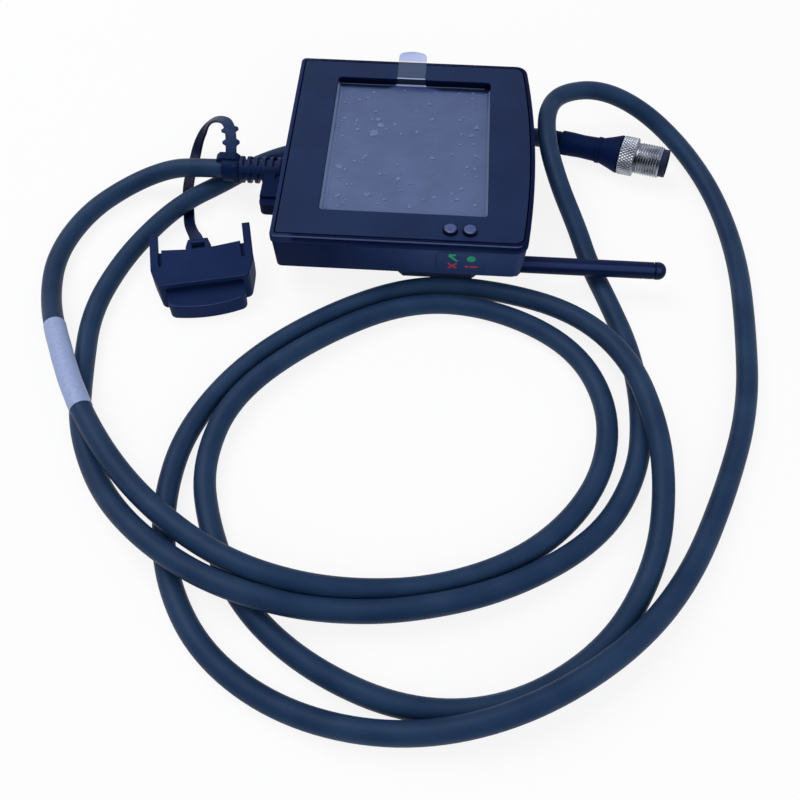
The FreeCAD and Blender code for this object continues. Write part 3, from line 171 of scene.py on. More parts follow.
cable_curve = soft_line("cable_lead", CABLE_ROUTE)
cable_curve.bevel_depth = CABLE_DIAMETER / 2 * MM
cable_curve.bevel_resolution = 8
cable_curve.use_fill_caps = True
cable_lead = add_object("cable_lead", cable_curve)
cable_line = read_line(cable_curve)
print(f"cable: {line_length(cable_line):.3f} m in {len(cable_line)} points")

# %% [markdown]
# ## Colours and shader nodes
#
# A colour that is picked on a screen is an sRGB value, while Blender's shaders count in
# linear light. One function turns a hex value to linear, so that every colour below can be
# written as a designer would write it. Another one adds a shader node together with its
# settings and its links, which keeps each finish down to a few lines. A new material already
# has a Principled shader and an output, so a finish only has to feed that shader.

# %% Colour and node helpers
def linear(hex_colour):
    """Linear red, green, blue and alpha of an sRGB hex value such as #1a2b3c."""
    shades = [int(hex_colour[place:place + 2], 16) / 255 for place in (1, 3, 5)]
    lights = [s / 12.92 if s <= 0.04045 else ((s + 0.055) / 1.055) ** 2.4 for s in shades]
    return (*lights, 1.0)


def feed(tree, node, sockets):
    """Sets a node's sockets to values, to outputs, or to the first live output of other nodes."""
    for name, value in sockets.items():
        if isinstance(value, bpy.types.Node):
            value = next(output for output in value.outputs if output.enabled)
        if isinstance(value, bpy.types.NodeSocket):
            tree.links.new(value, node.inputs[name])
        else:
            node.inputs[name].default_value = value


def add_node(tree, kind, sockets=None, stops=(), **settings):
    """Adds a node with its settings and links, and on a colour ramp its stops, low to high."""
    node = tree.nodes.new(kind)
    for name, value in settings.items():
        setattr(node, name, value)
    if stops:
        elements = node.color_ramp.elements
        elements[0].position, elements[1].position = stops[0][0], stops[-1][0]
        for position, _ in stops[1:-1]:
            elements.new(position)
        for element, (_, colour) in zip(elements, stops):
            element.color = colour
    feed(tree, node, sockets or {})
    return node


def new_finish(name):
    """A material, its tree, its Principled shader, and the place on the piece in metres."""
    finish = bpy.data.materials.new(name)
    finish.use_nodes = True
    tree = finish.node_tree
    place = add_node(tree, "ShaderNodeTexCoord").outputs["Object"]
    return finish, tree, tree.nodes["Principled BSDF"], place


print("the grey #808080 in linear light:", round(linear("#808080")[0], 3))

# %% [markdown]
# ## Tones, and painted light and shade
#
# No real surface has one colour all over. It drifts a little. A painted picture could show
# that, but it needs a file and an unwrapped mesh. Here a noise mixes two tones, and a second
# function paints in one more colour along an axis or towards an edge: painted shade where
# parts lie deep, and painted highlights on edges that catch the light.

# %% Mix tones and paint light and shade
# A noise seldom leaves its middle, so two tones meet between these values of it.
TONE_SPAN = (0.35, 0.65)


def two_toned(name, patch_mm, detail, dark, light):
    """A new finish between two tones, in patches of a size, and the pattern that mixes them."""
    finish, tree, skin, place = new_finish(name)
    pattern = add_node(tree, "ShaderNodeTexNoise", {
        "Vector": place, "Scale": 1 / (patch_mm * MM), "Detail": detail})
    tones = add_node(tree, "ShaderNodeValToRGB", {"Fac": pattern}, stops=[
        (TONE_SPAN[0], linear(dark)), (TONE_SPAN[1], linear(light))])
    feed(tree, skin, {"Base Color": tones})
    return finish, tree, skin, place, pattern


def paint_light_and_shade(tree, skin, value, span, colour):
    """Paints light or shade into a finish, as a value goes from the first to the second of a span.
    """
    share = add_node(tree, "ShaderNodeMapRange", {
        "Value": value, "From Min": span[0], "From Max": span[1]})
    before = skin.inputs["Base Color"].links[0].from_socket
    feed(tree, skin, {"Base Color": add_node(tree, "ShaderNodeMix", {
        "Factor": share, "A": before, "B": linear(colour)}, data_type="RGBA")})


print(f"two tones meet from {TONE_SPAN[0]} to {TONE_SPAN[1]} of their noise")

# %% [markdown]
# ## Plastics from a mould
#
# Most of the object is injection moulded. The mould's walls are spark eroded, which leaves a
# fine dull grain on the case, while the clip, the plug and the stylus come from smoother
# moulds and show a satin gleam. A flat colour would look like paint, so each plastic gets a
# grain in its bump, and a colour and polish that drift a little across the piece.

# %% Mould the case's plastics
DRIFT_MM = 22.0
POLISH_DRIFT = 0.07
PLASTIC_IOR = 1.53
# Edges that face the front and up are the ones that the light catches, so there the finishes paint
# a highlight.
EDGE_FACING = Vector((0.0, -0.6, 0.8))
EDGE_SPAN = (0.93, 0.98)


def moulded_plastic(name, dark, light, grain_mm, depth_mm, rough, gleam,
                    zones=(), edge=None, round_mm=0.3):
    """Plastic with a mould's grain, and with tones and polish that drift over some millimetres.

    A zone is an axis, two places on it in millimetres, and the colour that it paints in from the
    first to the second, as painted shade or painted light. Edge is the colour of a painted
    highlight on edges that face the front and up, and round_mm the radius that all edges seem to
    have.
    """
    finish, tree, skin, place, drift = two_toned(name, DRIFT_MM, 3.0, dark, light)
    rounded = add_node(tree, "ShaderNodeBevel", {"Radius": round_mm * MM}, samples=6)
    polish = add_node(tree, "ShaderNodeMapRange", {
        "Value": drift, "To Min": rough - POLISH_DRIFT, "To Max": rough + POLISH_DRIFT})
    grain = add_node(tree, "ShaderNodeTexNoise", {
        "Vector": place, "Scale": 1 / (grain_mm * MM), "Detail": 2.0})
    bump = add_node(tree, "ShaderNodeBump", {
        "Height": grain, "Distance": depth_mm * MM, "Strength": 0.6, "Normal": rounded})
    for axis, start, stop, colour in zones:
        axes = add_node(tree, "ShaderNodeSeparateXYZ", {"Vector": place})
        paint_light_and_shade(tree, skin, axes.outputs[axis], (start * MM, stop * MM), colour)
    if edge:
        match = add_node(tree, "ShaderNodeVectorMath", {0: rounded, 1: EDGE_FACING},
                         operation="DOT_PRODUCT")
        paint_light_and_shade(tree, skin, match, EDGE_SPAN, edge)
    feed(tree, skin, {"Roughness": polish, "Normal": bump, "IOR": PLASTIC_IOR,
                      "Specular IOR Level": gleam})
    return finish


# ABS from a spark-eroded mould: dull and even, near black with a blue cast. Towards the end
# with the plug it is painted darker, as painted shade. The real grain is about 0.1 mm, too fine
# for the render, so this and all other grains are drawn coarser.
case_abs = moulded_plastic(
    "abs_spark_eroded", "#2b3c66", "#31426c", grain_mm=0.5, depth_mm=0.05, rough=0.56,
    gleam=0.06, zones=[("X", -4.0, -38.0, "#00173f")])
# The same ABS on the rim: painted dark near its top as painted shade, lighter below, and
# painted lighter on the plug's side as painted light. Its rolled edge carries a painted highlight.
rim_abs = moulded_plastic(
    "abs_rim_painted_light_and_shade", "#0d2148", "#122950", grain_mm=0.5, depth_mm=0.04, rough=0.54, gleam=0.05,
    zones=[("Z", 22.6, 24.3, "#000c33"), ("X", -49.5, -51.0, "#1b2950")], edge="#44516f")
# The same ABS on the flat face plate, from a finer part of the mould: a little more even. The
# cut edges round the window and the lights are painted dark, as painted shade.
plate_abs = moulded_plastic(
    "abs_fine_textured", "#102044", "#14274c", grain_mm=0.4, depth_mm=0.03, rough=0.52,
    gleam=0.1, zones=[("Z", 25.4, 25.1, "#000a2b")])
print("case plastics:", case_abs.name, rim_abs.name, plate_abs.name)

# %% [markdown]
# The smaller mouldings use the same function. They differ in how smooth their mould was, how
# soft the plastic is, and in the light and shade painted on them.

# %% Mix the other plastics
# Nylon from a smooth mould, on the strap: satin, with painted shade where the strap turns away.
satin_nylon = moulded_plastic(
    "nylon_moulded_satin", "#10244a", "#142a50", grain_mm=0.8, depth_mm=0.02, rough=0.42,
    gleam=0.1, zones=[("X", -86.0, -90.5, "#000a2c")])
# The same nylon on the clip, with painted highlights on the edges that face the front and up.
painted_highlight_nylon = moulded_plastic(
    "nylon_moulded_painted_highlight", "#102149", "#15274e", grain_mm=0.8, depth_mm=0.02, rough=0.5,
    gleam=0.04, edge="#3f4d70", round_mm=0.8)
# The same nylon on the band, painted darker as painted shade, for the band sits in the shade
# of the plug. It gets no painted edge highlight.
band_nylon = moulded_plastic(
    "nylon_moulded_painted_shade", "#07193b", "#0c1f43", grain_mm=0.8, depth_mm=0.02, rough=0.5,
    gleam=0.05)
# The same nylon on the stylus, with a painted highlight along its upper front and painted
# shade below.
stylus_nylon = moulded_plastic(
    "nylon_moulded_painted_highlight_and_shade", "#091738", "#0d1c3f", grain_mm=0.8, depth_mm=0.02, rough=0.42,
    gleam=0.06, zones=[("Z", 11.0, 8.6, "#040e2c")], edge="#26335a")
# Soft PVC of the strain relief, moulded over the cable: duller, with a faint waxy gleam.
soft_pvc = moulded_plastic(
    "pvc_overmoulded_soft", "#0a1c43", "#0e224b", grain_mm=0.7, depth_mm=0.03, rough=0.5,
    gleam=0.1)
# Thermoplastic rubber of the boot: the darkest of the blues, and dull. The plug wears it too,
# darker than its own plastic, as painted shade.
boot_rubber = moulded_plastic(
    "tpe_overmoulded_dark", "#041438", "#071a42", grain_mm=0.7, depth_mm=0.03, rough=0.55,
    gleam=0.04)
# Glass-filled PBT of inserts, sockets and chip housings: grey black and quite dull.
dull_pbt = moulded_plastic(
    "pbt_moulded_dull", "#161d38", "#1c2440", grain_mm=0.5, depth_mm=0.04, rough=0.62,
    gleam=0.15)
# White ABS of the light tray behind the screen: clean, matt and bright.
white_abs = moulded_plastic(
    "abs_white_moulded", "#d9dadb", "#e6e6e6", grain_mm=0.6, depth_mm=0.02, rough=0.5,
    gleam=0.4)
# Silicone rubber of the two seals: black and dry.
seal_rubber = moulded_plastic(
    "silicone_moulded_seal", "#05070d", "#0a0c13", grain_mm=0.5, depth_mm=0.03, rough=0.7,
    gleam=0.1)
other_plastics = (satin_nylon, painted_highlight_nylon, band_nylon, stylus_nylon, soft_pvc, boot_rubber,
                  dull_pbt, white_abs, seal_rubber)
print("other plastics:", ", ".join(finish.name for finish in other_plastics))

# %% [markdown]
# ## The cable's jacket
#
# The jacket is PVC, extruded hot round the twisted wires. It comes out satin, dark blue green,
# with a slow unevenness where the wires press through, and its bends catch a soft streak of
# light. A slow noise for the wires and a fine one for the skin give both.

# %% Dress the cable
WIRE_LAY_MM = 14.0
WIRE_RISE_MM = 1.2
# The skin of a real jacket is finer than this. At 0.9 mm it still shows in the render.
PORE_MM = 0.9
PORE_DEPTH_MM = 0.05

jacket_pvc, tree, skin, place, wires = two_toned(
    "pvc_extruded_jacket", WIRE_LAY_MM, 1.0, "#1a304e", "#223957")
pores = add_node(tree, "ShaderNodeTexNoise", {
    "Vector": place, "Scale": 1 / (PORE_MM * MM), "Detail": 3.0})
swell = add_node(tree, "ShaderNodeBump", {
    "Height": wires, "Distance": WIRE_RISE_MM * MM, "Strength": 0.5})
bump = add_node(tree, "ShaderNodeBump", {
    "Height": pores, "Distance": PORE_DEPTH_MM * MM, "Strength": 0.5, "Normal": swell})
polish = add_node(tree, "ShaderNodeMapRange", {"Value": pores, "To Min": 0.36, "To Max": 0.52})
feed(tree, skin, {"Roughness": polish, "Normal": bump, "IOR": PLASTIC_IOR,
                  "Specular IOR Level": 0.09})


def place_piece(piece, finish, body, slot, *stands_for):
    """Gives a piece its finish and its body, and hides the nodes it stands for. The slot is not
    used.
    """
    piece.data.materials.append(finish)
    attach(piece, body)
    if stands_for:
        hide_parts(*stands_for)
    print(f"{piece.name} wears {finish.name} and rides on {body}")


place_piece(cable_lead, jacket_pvc, "display", "cable_jacket", "cable")

# %% [markdown]
# ## Skins over rings
#
# Several pieces below are round or flat sections that change along their length: the label,
# the nut, the strap, the air bubbles. Blender's cylinder has one radius, and a bevelled curve
# one section. A skin over rings of points, as on a lampshade, lets each ring have its own
# place and outline.

# %% Skin rings of points
SHARP_DEGREES = 35


def new_piece(name, points, faces, sharp_degrees=SHARP_DEGREES):
    """A smooth-shaded mesh object from points in metres, with edges sharp above an angle."""
    mesh = bpy.data.meshes.new(name)
    mesh.from_pydata(points, [], faces)
    shell = bmesh.new()
    shell.from_mesh(mesh)
    bmesh.ops.recalc_face_normals(shell, faces=shell.faces)
    shell.to_mesh(mesh)
    shell.free()
    mesh.shade_smooth()
    mesh.set_sharp_from_angle(angle=math.radians(sharp_degrees))
    return add_object(name, mesh)


def skin_rings(name, *stacks, loop=False, foot=True, sharp_degrees=SHARP_DEGREES):
    """A skin over stacks of rings: each closed on itself where it loops, and else capped.

    Without a foot, the first ring of each stack stays open.
    """
    points, faces = [], []
    for rings in stacks:
        start, around = len(points), len(rings[0])
        points += [point for ring in rings for point in ring]
        for number in range(len(rings) if loop else len(rings) - 1):
            near = start + number * around
            far = start + (number + 1) % len(rings) * around
            for step in range(around):
                follow = (step + 1) % around
                faces.append((near + step, near + follow, far + follow, far + step))
        if not loop:
            faces.append(tuple(range(len(points) - around, len(points))))
            if foot:
                faces.append(tuple(range(start, start + around)))
    return new_piece(name, points, faces, sharp_degrees)


def ring_round(centre, side, up, radii, start=0.0):
    """Points round a centre, one for each of the radii in millimetres, at equal turns."""
    ring = []
    for step, radius in enumerate(radii):
        turn = start + math.tau * step / len(radii)
        ring.append(centre + (side * math.cos(turn) + up * math.sin(turn)) * radius * MM)
    return ring


print(f"skins turn sharp where faces meet at more than {SHARP_DEGREES} degrees")

# %% [markdown]
# ## The label on the cable
#
# A coated paper label is wrapped once round the cable, near its first bend. The paper's end
# lies on its own start, so there is a small step along it, and the bend has creased it. A
# sleeve of constant radius would look like a bushing. Here rings are set along the points
# that Blender reads from the cable's spline, with a radius that grows round each ring.

# %% Wrap the label
# Where the label starts and ends, in millimetres.
LABEL_ENDS = ((-128.9, -77.4, 8.6), (-109.6, -112.9, 11.8))
LABEL_RADIUS = CABLE_DIAMETER / 2 + 0.12
LABEL_STEP = 0.16
LABEL_CREASE = 0.05
# Two and three creases lie round a ring, and turn by these angles from one ring to the next.
CREASE_TURNS = (1.3, 0.4)
# The turn at which the paper starts and ends.
LABEL_SEAM = -2.2
LABEL_POINTS = 48


def across_line(points, number):
    """Unit vectors across and above a line at one of its points."""
    before, after = points[max(number - 1, 0)], points[min(number + 1, len(points) - 1)]
    along = (after - before).normalized()
    across = along.cross(Vector((0, 0, 1))).normalized()
    return across, across.cross(along)


def nearest_on(points, corner):
    """Number of the point of a line that lies nearest to a place in millimetres."""
    goal = Vector(corner) * MM
    return min(range(len(points)), key=lambda number: (points[number] - goal).length)


def label_radius(number, share):
    """Radius of the paper at a point of the cable: it grows round the ring, and is creased."""
    turn = math.tau * share + LABEL_SEAM
    first_turn, second_turn = (number * angle for angle in CREASE_TURNS)
    crease = math.sin(first_turn + 2 * turn) * math.sin(3 * turn + second_turn)
    return LABEL_RADIUS + LABEL_STEP * share + LABEL_CREASE * crease


first, last = (nearest_on(cable_line, end) for end in LABEL_ENDS)
label_rings = []
for number in range(first, last + 1):
    radii = [label_radius(number, step / LABEL_POINTS) for step in range(LABEL_POINTS)]
    label_rings.append(ring_round(
        cable_line[number], *across_line(cable_line, number), radii, LABEL_SEAM))
paper_label = skin_rings("paper_label", label_rings)
label_length = line_length(cable_line[first:last + 1])
print(f"label: {label_length / MM:.0f} mm long in {len(label_rings)} rings")

# %% [markdown]
# The label's finish is coated paper: smooth from the coating, with pulp fibres that make it a
# little uneven. It is a pale blue here, as white paper is that lies in the shade of a room.

# %% Finish the label
FIBRE_MM = 1.2
FIBRE_DEPTH_MM = 0.06

coated_paper, tree, skin, _, fibres = two_toned(
    "paper_coated_label", FIBRE_MM, 4.0, "#8e9fc9", "#99a9d0")
bump = add_node(tree, "ShaderNodeBump", {
    "Height": fibres, "Distance": FIBRE_DEPTH_MM * MM, "Strength": 0.5})
feed(tree, skin, {"Roughness": 0.5, "Normal": bump, "Specular IOR Level": 0.4})
place_piece(paper_label, coated_paper, "display", "paper_label", "cable_label")

# %% [markdown]
# ## The round connector
#
# The connector's coupling nut turns freely on the insert. It is turned from brass and nickel
# plated, with a diamond knurl for the fingers and a thread of 1 mm pitch. Bump could fake
# both, but their edges show against the table, so the nut is one grid of rings in which the
# radius follows the knurl's two crossing grooves and then the thread's helix.

# %% Cut the coupling nut
# Places along the connector's axis and radii, in millimetres.
NUT_START = 28.8
GRIP_END = 35.1
NUT_END = 44.6
GRIP_RADIUS = 7.35
THREAD_RADIUS = 6.0
NUT_BORE = 5.28
KNURL_GROOVES = 44
KNURL_DEPTH = 0.3
# Grooves that a millimetre along the axis crosses, as they run 30 degrees askew.
KNURL_SLANT = math.tan(math.radians(30)) * KNURL_GROOVES / (math.tau * GRIP_RADIUS)
THREAD_PITCH = 1.0
THREAD_DEPTH = 0.5
# First ring, distance from ring to ring, and number of rings, on the knurl and on the thread.
KNURL_START, KNURL_ROW, KNURL_ROWS = 29.15, 0.16, 34
THREAD_START, THREAD_ROW, THREAD_ROWS = 35.7, THREAD_PITCH / 8, 68
NUT_POINTS = KNURL_GROOVES * 6

spin = next(joint for joint in frame["joints"] if joint["name"] == "coupling_spin")
nut_axis = Vector(spin["axis"]).normalized()
nut_base = Vector(spin["pos_m"])
nut_side = nut_axis.cross(Vector((0, 0, 1))).normalized()
nut_up = nut_side.cross(nut_axis)


def groove(turns):
    """Depth of a V groove, from 0 on its edge to 1 at its bottom, that comes once a turn."""
    return 1 - abs(2 * (turns % 1.0) - 1)


def knurl_radius(along, share):
    """Radius on the grip, where two sets of grooves cross."""
    slant = (along - NUT_START) * KNURL_SLANT
    deepest = max(groove(share * KNURL_GROOVES + slant), groove(share * KNURL_GROOVES - slant))
    return GRIP_RADIUS - KNURL_DEPTH * deepest


def thread_radius(along, share):
    """Radius on the thread, a V groove that climbs one pitch in each turn."""
    return THREAD_RADIUS - THREAD_DEPTH * groove((along - GRIP_END) / THREAD_PITCH - share)


# The nut's rings, each a place and a radius: a chamfer, the knurl, a chamfer and an undercut,
# the thread, and a last chamfer with the bore's two ends.
nut_profile = [(NUT_START, 6.85)]
nut_profile += [(KNURL_START + KNURL_ROW * row, knurl_radius) for row in range(KNURL_ROWS)]
nut_profile += [(34.7, 6.9), (GRIP_END, 5.45)]
nut_profile += [(THREAD_START + THREAD_ROW * row, thread_radius) for row in range(THREAD_ROWS)]
nut_profile += [(NUT_END, 5.55), (NUT_END, NUT_BORE), (NUT_START, NUT_BORE)]
nut_rings = []
for along, radius in nut_profile:
    radii = [radius(along, step / NUT_POINTS) if callable(radius) else radius
             for step in range(NUT_POINTS)]
    nut_rings.append(ring_round(nut_base + nut_axis * along * MM, nut_side, nut_up, radii))
knurled_nut = skin_rings("knurled_nut", nut_rings, loop=True)
print(f"nut: {len(knurled_nut.data.polygons)} faces, {KNURL_GROOVES} grooves each way")

# %% [markdown]
# The nut's plating is nickel: a warm white metal, bright on the ridges, duller in the grooves
# where the bath leaves it thinner. Pins and inserts are turned brass, the screws zinc-plated
# steel. All three are metals with fine turning marks, so one function makes them.

# %% Mix the metals
TARNISH_MM = 4.0
# Real marks of the tool are finer. At 0.5 mm they still show in the render.
MARK_MM = 0.5
MARK_DEPTH_MM = 0.02
# How much smoother and rougher than its middle value the marks make a metal.
MARK_POLISH = (0.06, 0.08)


def turned_metal(name, dark, light, rough):
    """Metal with fine marks of the turning tool, and a tone that changes where it is handled."""
    finish, tree, skin, place, _ = two_toned(name, TARNISH_MM, 3.0, dark, light)
    marks = add_node(tree, "ShaderNodeTexNoise", {
        "Vector": place, "Scale": 1 / (MARK_MM * MM), "Detail": 2.0})
    polish = add_node(tree, "ShaderNodeMapRange", {
        "Value": marks, "To Min": rough - MARK_POLISH[0], "To Max": rough + MARK_POLISH[1]})
    bump = add_node(tree, "ShaderNodeBump", {
        "Height": marks, "Distance": MARK_DEPTH_MM * MM, "Strength": 0.4})
    feed(tree, skin, {"Metallic": 1.0, "Roughness": polish, "Normal": bump})
    return finish


# Nickel over machined brass: bright, with a grey that darkens in the grooves.
plated_nickel = turned_metal("nickel_plated_machined", "#7c808b", "#a7abb4", rough=0.3)
# Bare brass, turned and tumbled: yellow and half bright.
turned_brass = turned_metal("brass_turned", "#a08038", "#c9a650", rough=0.28)
# Steel screws with clear zinc: cold grey.
zinc_steel = turned_metal("steel_zinc_plated", "#7d828a", "#a3a8af", rough=0.34)
place_piece(knurled_nut, plated_nickel, "coupling", "nickel", "coupling_nut")

# %% [markdown]
# ## The tether strap
#
# A flat strap, moulded in one with its beads, keeps the clip on the cable. It leaves the
# buckle, loops over, passes under the cable and goes into the clip's loop. The beads are
# short bumps on both edges, which lock in the buckle. Rings of a flat section follow the
# strap's own spline, and each ring is as wide as the strap is at that place.

# %% Bend the strap
STRAP_WIDTH = 4.1
STRAP_THICKNESS = 1.0
# Distances along the strap at which the beads sit, and their length, reach and steepness.
BEAD_PLACES = (4.4, 9.8)
BEAD_LENGTH = 2.6
BEAD_REACH = 1.2
BEAD_STEEPNESS = 1.6
# Near its end the strap widens over a short run, and fills the clip's eye.
FLARE_RUN = (93.0, 95.5)
FLARE_REACH = 0.28
STRAP_ROUTE = [
    (-79.7, 0.1, 17.2), (-79.8, 3.6, 19.6), (-80.7, 8.4, 21.5), (-82.8, 13.6, 21),
    (-86.4, 17.2, 19), (-90.2, 19.9, 16), (-93.6, 20.5, 12), (-96.3, 18.5, 8),
    (-97.8, 16, 4.5), (-98.4, 12.9, 2.4), (-99.1, 8, 1), (-99, 0.8, 0.6), (-98.1, -6, 0.6),
    (-96.4, -12.9, 0.6), (-95.3, -17.6, 0.9), (-93.5, -23.5, 3.9), (-91.1, -29.5, 7.2),
    (-88.4, -34.5, 8.8), (-86.2, -38.4, 9.35), (-85, -43.6, 9.4),
]
STRAP_STEPS = 18
# The strap's section, as shares of half its width and half its thickness, with broken corners.
STRAP_SECTION = [(-1, -0.5), (-0.85, -1), (0, -1), (0.85, -1), (1, -0.5),
                 (1, 0.5), (0.85, 1), (0, 1), (-0.85, 1), (-1, 0.5)]


def clamped(share):
    """A share that is kept between 0 and 1."""
    return min(max(share, 0.0), 1.0)


def strap_half_width(run):
    """Half the strap's width at a distance along it, with the beads and the flare."""
    bead = max(1 - abs(run - place) / (BEAD_LENGTH / 2) for place in BEAD_PLACES)
    flare = (run - FLARE_RUN[0]) / (FLARE_RUN[1] - FLARE_RUN[0])
    return (STRAP_WIDTH / 2 + BEAD_REACH * clamped(bead * BEAD_STEEPNESS)
            + FLARE_REACH * clamped(flare))


strap_line = read_line(soft_line("strap_line", STRAP_ROUTE, STRAP_STEPS))
strap_rings = []
for number, point in enumerate(strap_line):
    across, above = across_line(strap_line, number)
    half = strap_half_width(line_length(strap_line[:number + 1]) / MM)
    strap_rings.append([
        point + (across * side * half + above * lift * STRAP_THICKNESS / 2) * MM
        for side, lift in STRAP_SECTION])
beaded_strap = skin_rings("beaded_strap", strap_rings)
place_piece(beaded_strap, satin_nylon, "display", "plug_plastic", "tether_strap")
print(f"strap: {line_length(strap_line):.3f} m with {len(BEAD_PLACES)} beads")

# %% [markdown]
# Between the band and the strain relief the tether has a second, squarer collar that keeps it
# from sliding on the cable. It is moulded with the band, and all its edges are round. Rings
# along the cable's first run have a section between a circle and a square.

# %% Mould the collar
# Distance from the cable's start and half width of each ring, in millimetres.
COLLAR_RINGS = [(2.9, 3.45), (2.85, 4.1), (2.6, 4.45), (2.0, 4.55), (1.0, 4.5), (0.5, 4.35),
                (0.25, 4.0), (0.2, 3.45)]
COLLAR_POINTS = 40


def squared(turn):
    """Radius of a rounded square of half width 1 at an angle."""
    return (math.cos(turn) ** 4 + math.sin(turn) ** 4) ** -0.25


collar_shape = [squared(math.tau * step / COLLAR_POINTS) for step in range(COLLAR_POINTS)]
collar_rings = []
for distance, half in COLLAR_RINGS:
    centre = (Vector(CABLE_ROUTE[0]) - Vector((distance, 0, 0))) * MM
    collar_rings.append(ring_round(centre, Vector((0, 1, 0)), Vector((0, 0, 1)),
                                   [half * radius for radius in collar_shape]))
band_collar = skin_rings("band_collar", collar_rings, loop=True)
place_piece(band_collar, band_nylon, "display", "plug_plastic")
print(f"collar: {COLLAR_RINGS[0][0] - COLLAR_RINGS[-1][0]:.1f} mm long")

# %% [markdown]
# ## Finishes on the CAD nodes
#
# The other shapes are right as they come from the CAD model, so they only get a finish. A
# real moulding has no perfectly sharp edge: a mould can't be cut that way, and the small
# round on each edge is what catches the light. The plastics above round their edges in the
# shading alone, which leaves the CAD mesh as it is.

# %% Dress the CAD nodes
def dress(finish, *names):
    """Gives CAD nodes a finish."""
    for name in names:
        nodes[name].data.materials.clear()
        nodes[name].data.materials.append(finish)
    print(f"{finish.name}: {', '.join(names)}")


dress(case_abs, "rear_cover")
dress(rim_abs, "front_frame")
dress(plate_abs, "front_plate")
dress(painted_highlight_nylon, "retaining_clip")
dress(band_nylon, "tether_band")
dress(stylus_nylon, "stylus_barrel", "stylus_end", "stylus_tip")
dress(soft_pvc, "strain_relief")
# The plug body's darker rubber finish is painted shade.
dress(boot_rubber, "connector_boot", "plug_body")
dress(dull_pbt, "board_chips", "cable_socket", "pin_carrier")
dress(white_abs, "backlight_tray", "status_lamps")
dress(seal_rubber, "case_seal", "screen_gasket")
dress(plated_nickel, "plug_nose")
dress(turned_brass, "mount_inserts", "connector_pins")
dress(zinc_steel, "case_screws")

# %% [markdown]
# ## Board, glass and lenses
#
# Three more finishes belong to the inside and the screen. The board is fibreglass under green
# solder mask. The touch panel and the display are float glass, dark while the display is
# off. The status lenses are clear polycarbonate with a milky filler that spreads the light of
# the lamp, so they look pale while the lamp is off.

# %% Finish the board, the glass and the lenses
# Solder mask over copper: green and half glossy, with the tracks a shade lighter.
TRACK_MM = 2.0
green_mask, tree, skin, place = new_finish("fibreglass_solder_mask")
tracks = add_node(tree, "ShaderNodeTexBrick", {
    "Vector": place, "Scale": 1 / (TRACK_MM * MM), "Color1": linear("#0f3d26"),
    "Color2": linear("#124a2d"), "Mortar": linear("#1c6a40"), "Mortar Size": 0.03}, offset=0.5)
feed(tree, skin, {"Base Color": tracks, "Roughness": 0.35, "Specular IOR Level": 0.5})

# Float glass over a dark display: polished, so nearly all that shows is what it reflects.
SMEAR_MM = 15.0
dark_glass, tree, skin, _, smears = two_toned(
    "glass_float_polished", SMEAR_MM, 4.0, "#141b2b", "#1a2233")
polish = add_node(tree, "ShaderNodeMapRange", {"Value": smears, "To Min": 0.06, "To Max": 0.16})
feed(tree, skin, {"Roughness": polish, "IOR": 1.52})

# Milky polycarbonate: grey blue and glossy on top, with a cloud of filler inside. A painted
# highlight makes a bright crescent on the front of the dome, and the side, which sits in the
# plate's dark hole, gets painted shade.
FILLER_MM = 0.9
CRESCENT_SPAN = (0.93, 0.985)
SIDE_SPAN = (0.84, 0.72)
milky_lens, tree, skin, *_ = two_toned(
    "polycarbonate_moulded_milky", FILLER_MM, 2.0, "#3b4a7a", "#475788")
normal = add_node(tree, "ShaderNodeNewGeometry").outputs["Normal"]
upward = add_node(tree, "ShaderNodeSeparateXYZ", {"Vector": normal}).outputs["Z"]
match = add_node(tree, "ShaderNodeVectorMath", {0: normal, 1: EDGE_FACING},
                 operation="DOT_PRODUCT")
paint_light_and_shade(tree, skin, match, CRESCENT_SPAN, "#7c8bb2")
paint_light_and_shade(tree, skin, upward, SIDE_SPAN, "#060e2a")
feed(tree, skin, {"Roughness": 0.3, "IOR": 1.58, "Specular IOR Level": 0.2})

dress(green_mask, "main_board")
dress(dark_glass, "touch_panel", "display_glass")
dress(milky_lens, "status_lenses")

# %% [markdown]
# ## The protective film
#
# A new display still has its film on: thin clear PET with a weak adhesive, cut to the window.
# It lies nearly flat, waves slightly, lifts at its edges, and its sides climb the window's
# walls, where the light catches them. A flat plane would look like paint on the glass, so the
# film is a grid with slow waves and lifted borders, and has a real thickness.

# %% Shape the film
FILM_X = (-42.2, 16.6)
FILM_Y = (-33.6, 36.4)
# Far edge at the cable side and at the curved side: the film was stuck on a little askew.
FILM_FAR = (35.1, 34.5)
# The pull tab's shoulders: where they start, reach the window's edge, leave it and end.
SHOULDERS = (-22.9, -20.2, -7.8, -2.6)
# Height of the touch panel, and the adhesive, the film and its waves above it.
FILM_FLOOR = 22.53
ADHESIVE = 0.06
FILM_THICKNESS = 0.1
FILM_WAVE = 0.03
# How far the border lifts, and over how wide a strip.
LIFT = 0.12
LIFT_RUN = 2.0
# How far the film's two sides climb the window's walls, over how wide a strip.
CURLS = (2.0, 1.4)
CURL_RUN = 0.9


def between(span, share):
    """The value at a share of the way along a span."""
    return span[0] + (span[1] - span[0]) * share


def film_far(x):
    """Far edge of the film, with the pull tab's shoulders."""
    plain = between(FILM_FAR, (x - FILM_X[0]) / (FILM_X[1] - FILM_X[0]))
    rising = (x - SHOULDERS[0]) / (SHOULDERS[1] - SHOULDERS[0])
    falling = (SHOULDERS[3] - x) / (SHOULDERS[3] - SHOULDERS[2])
    return between((plain, FILM_Y[1]), clamped(min(rising, falling)))


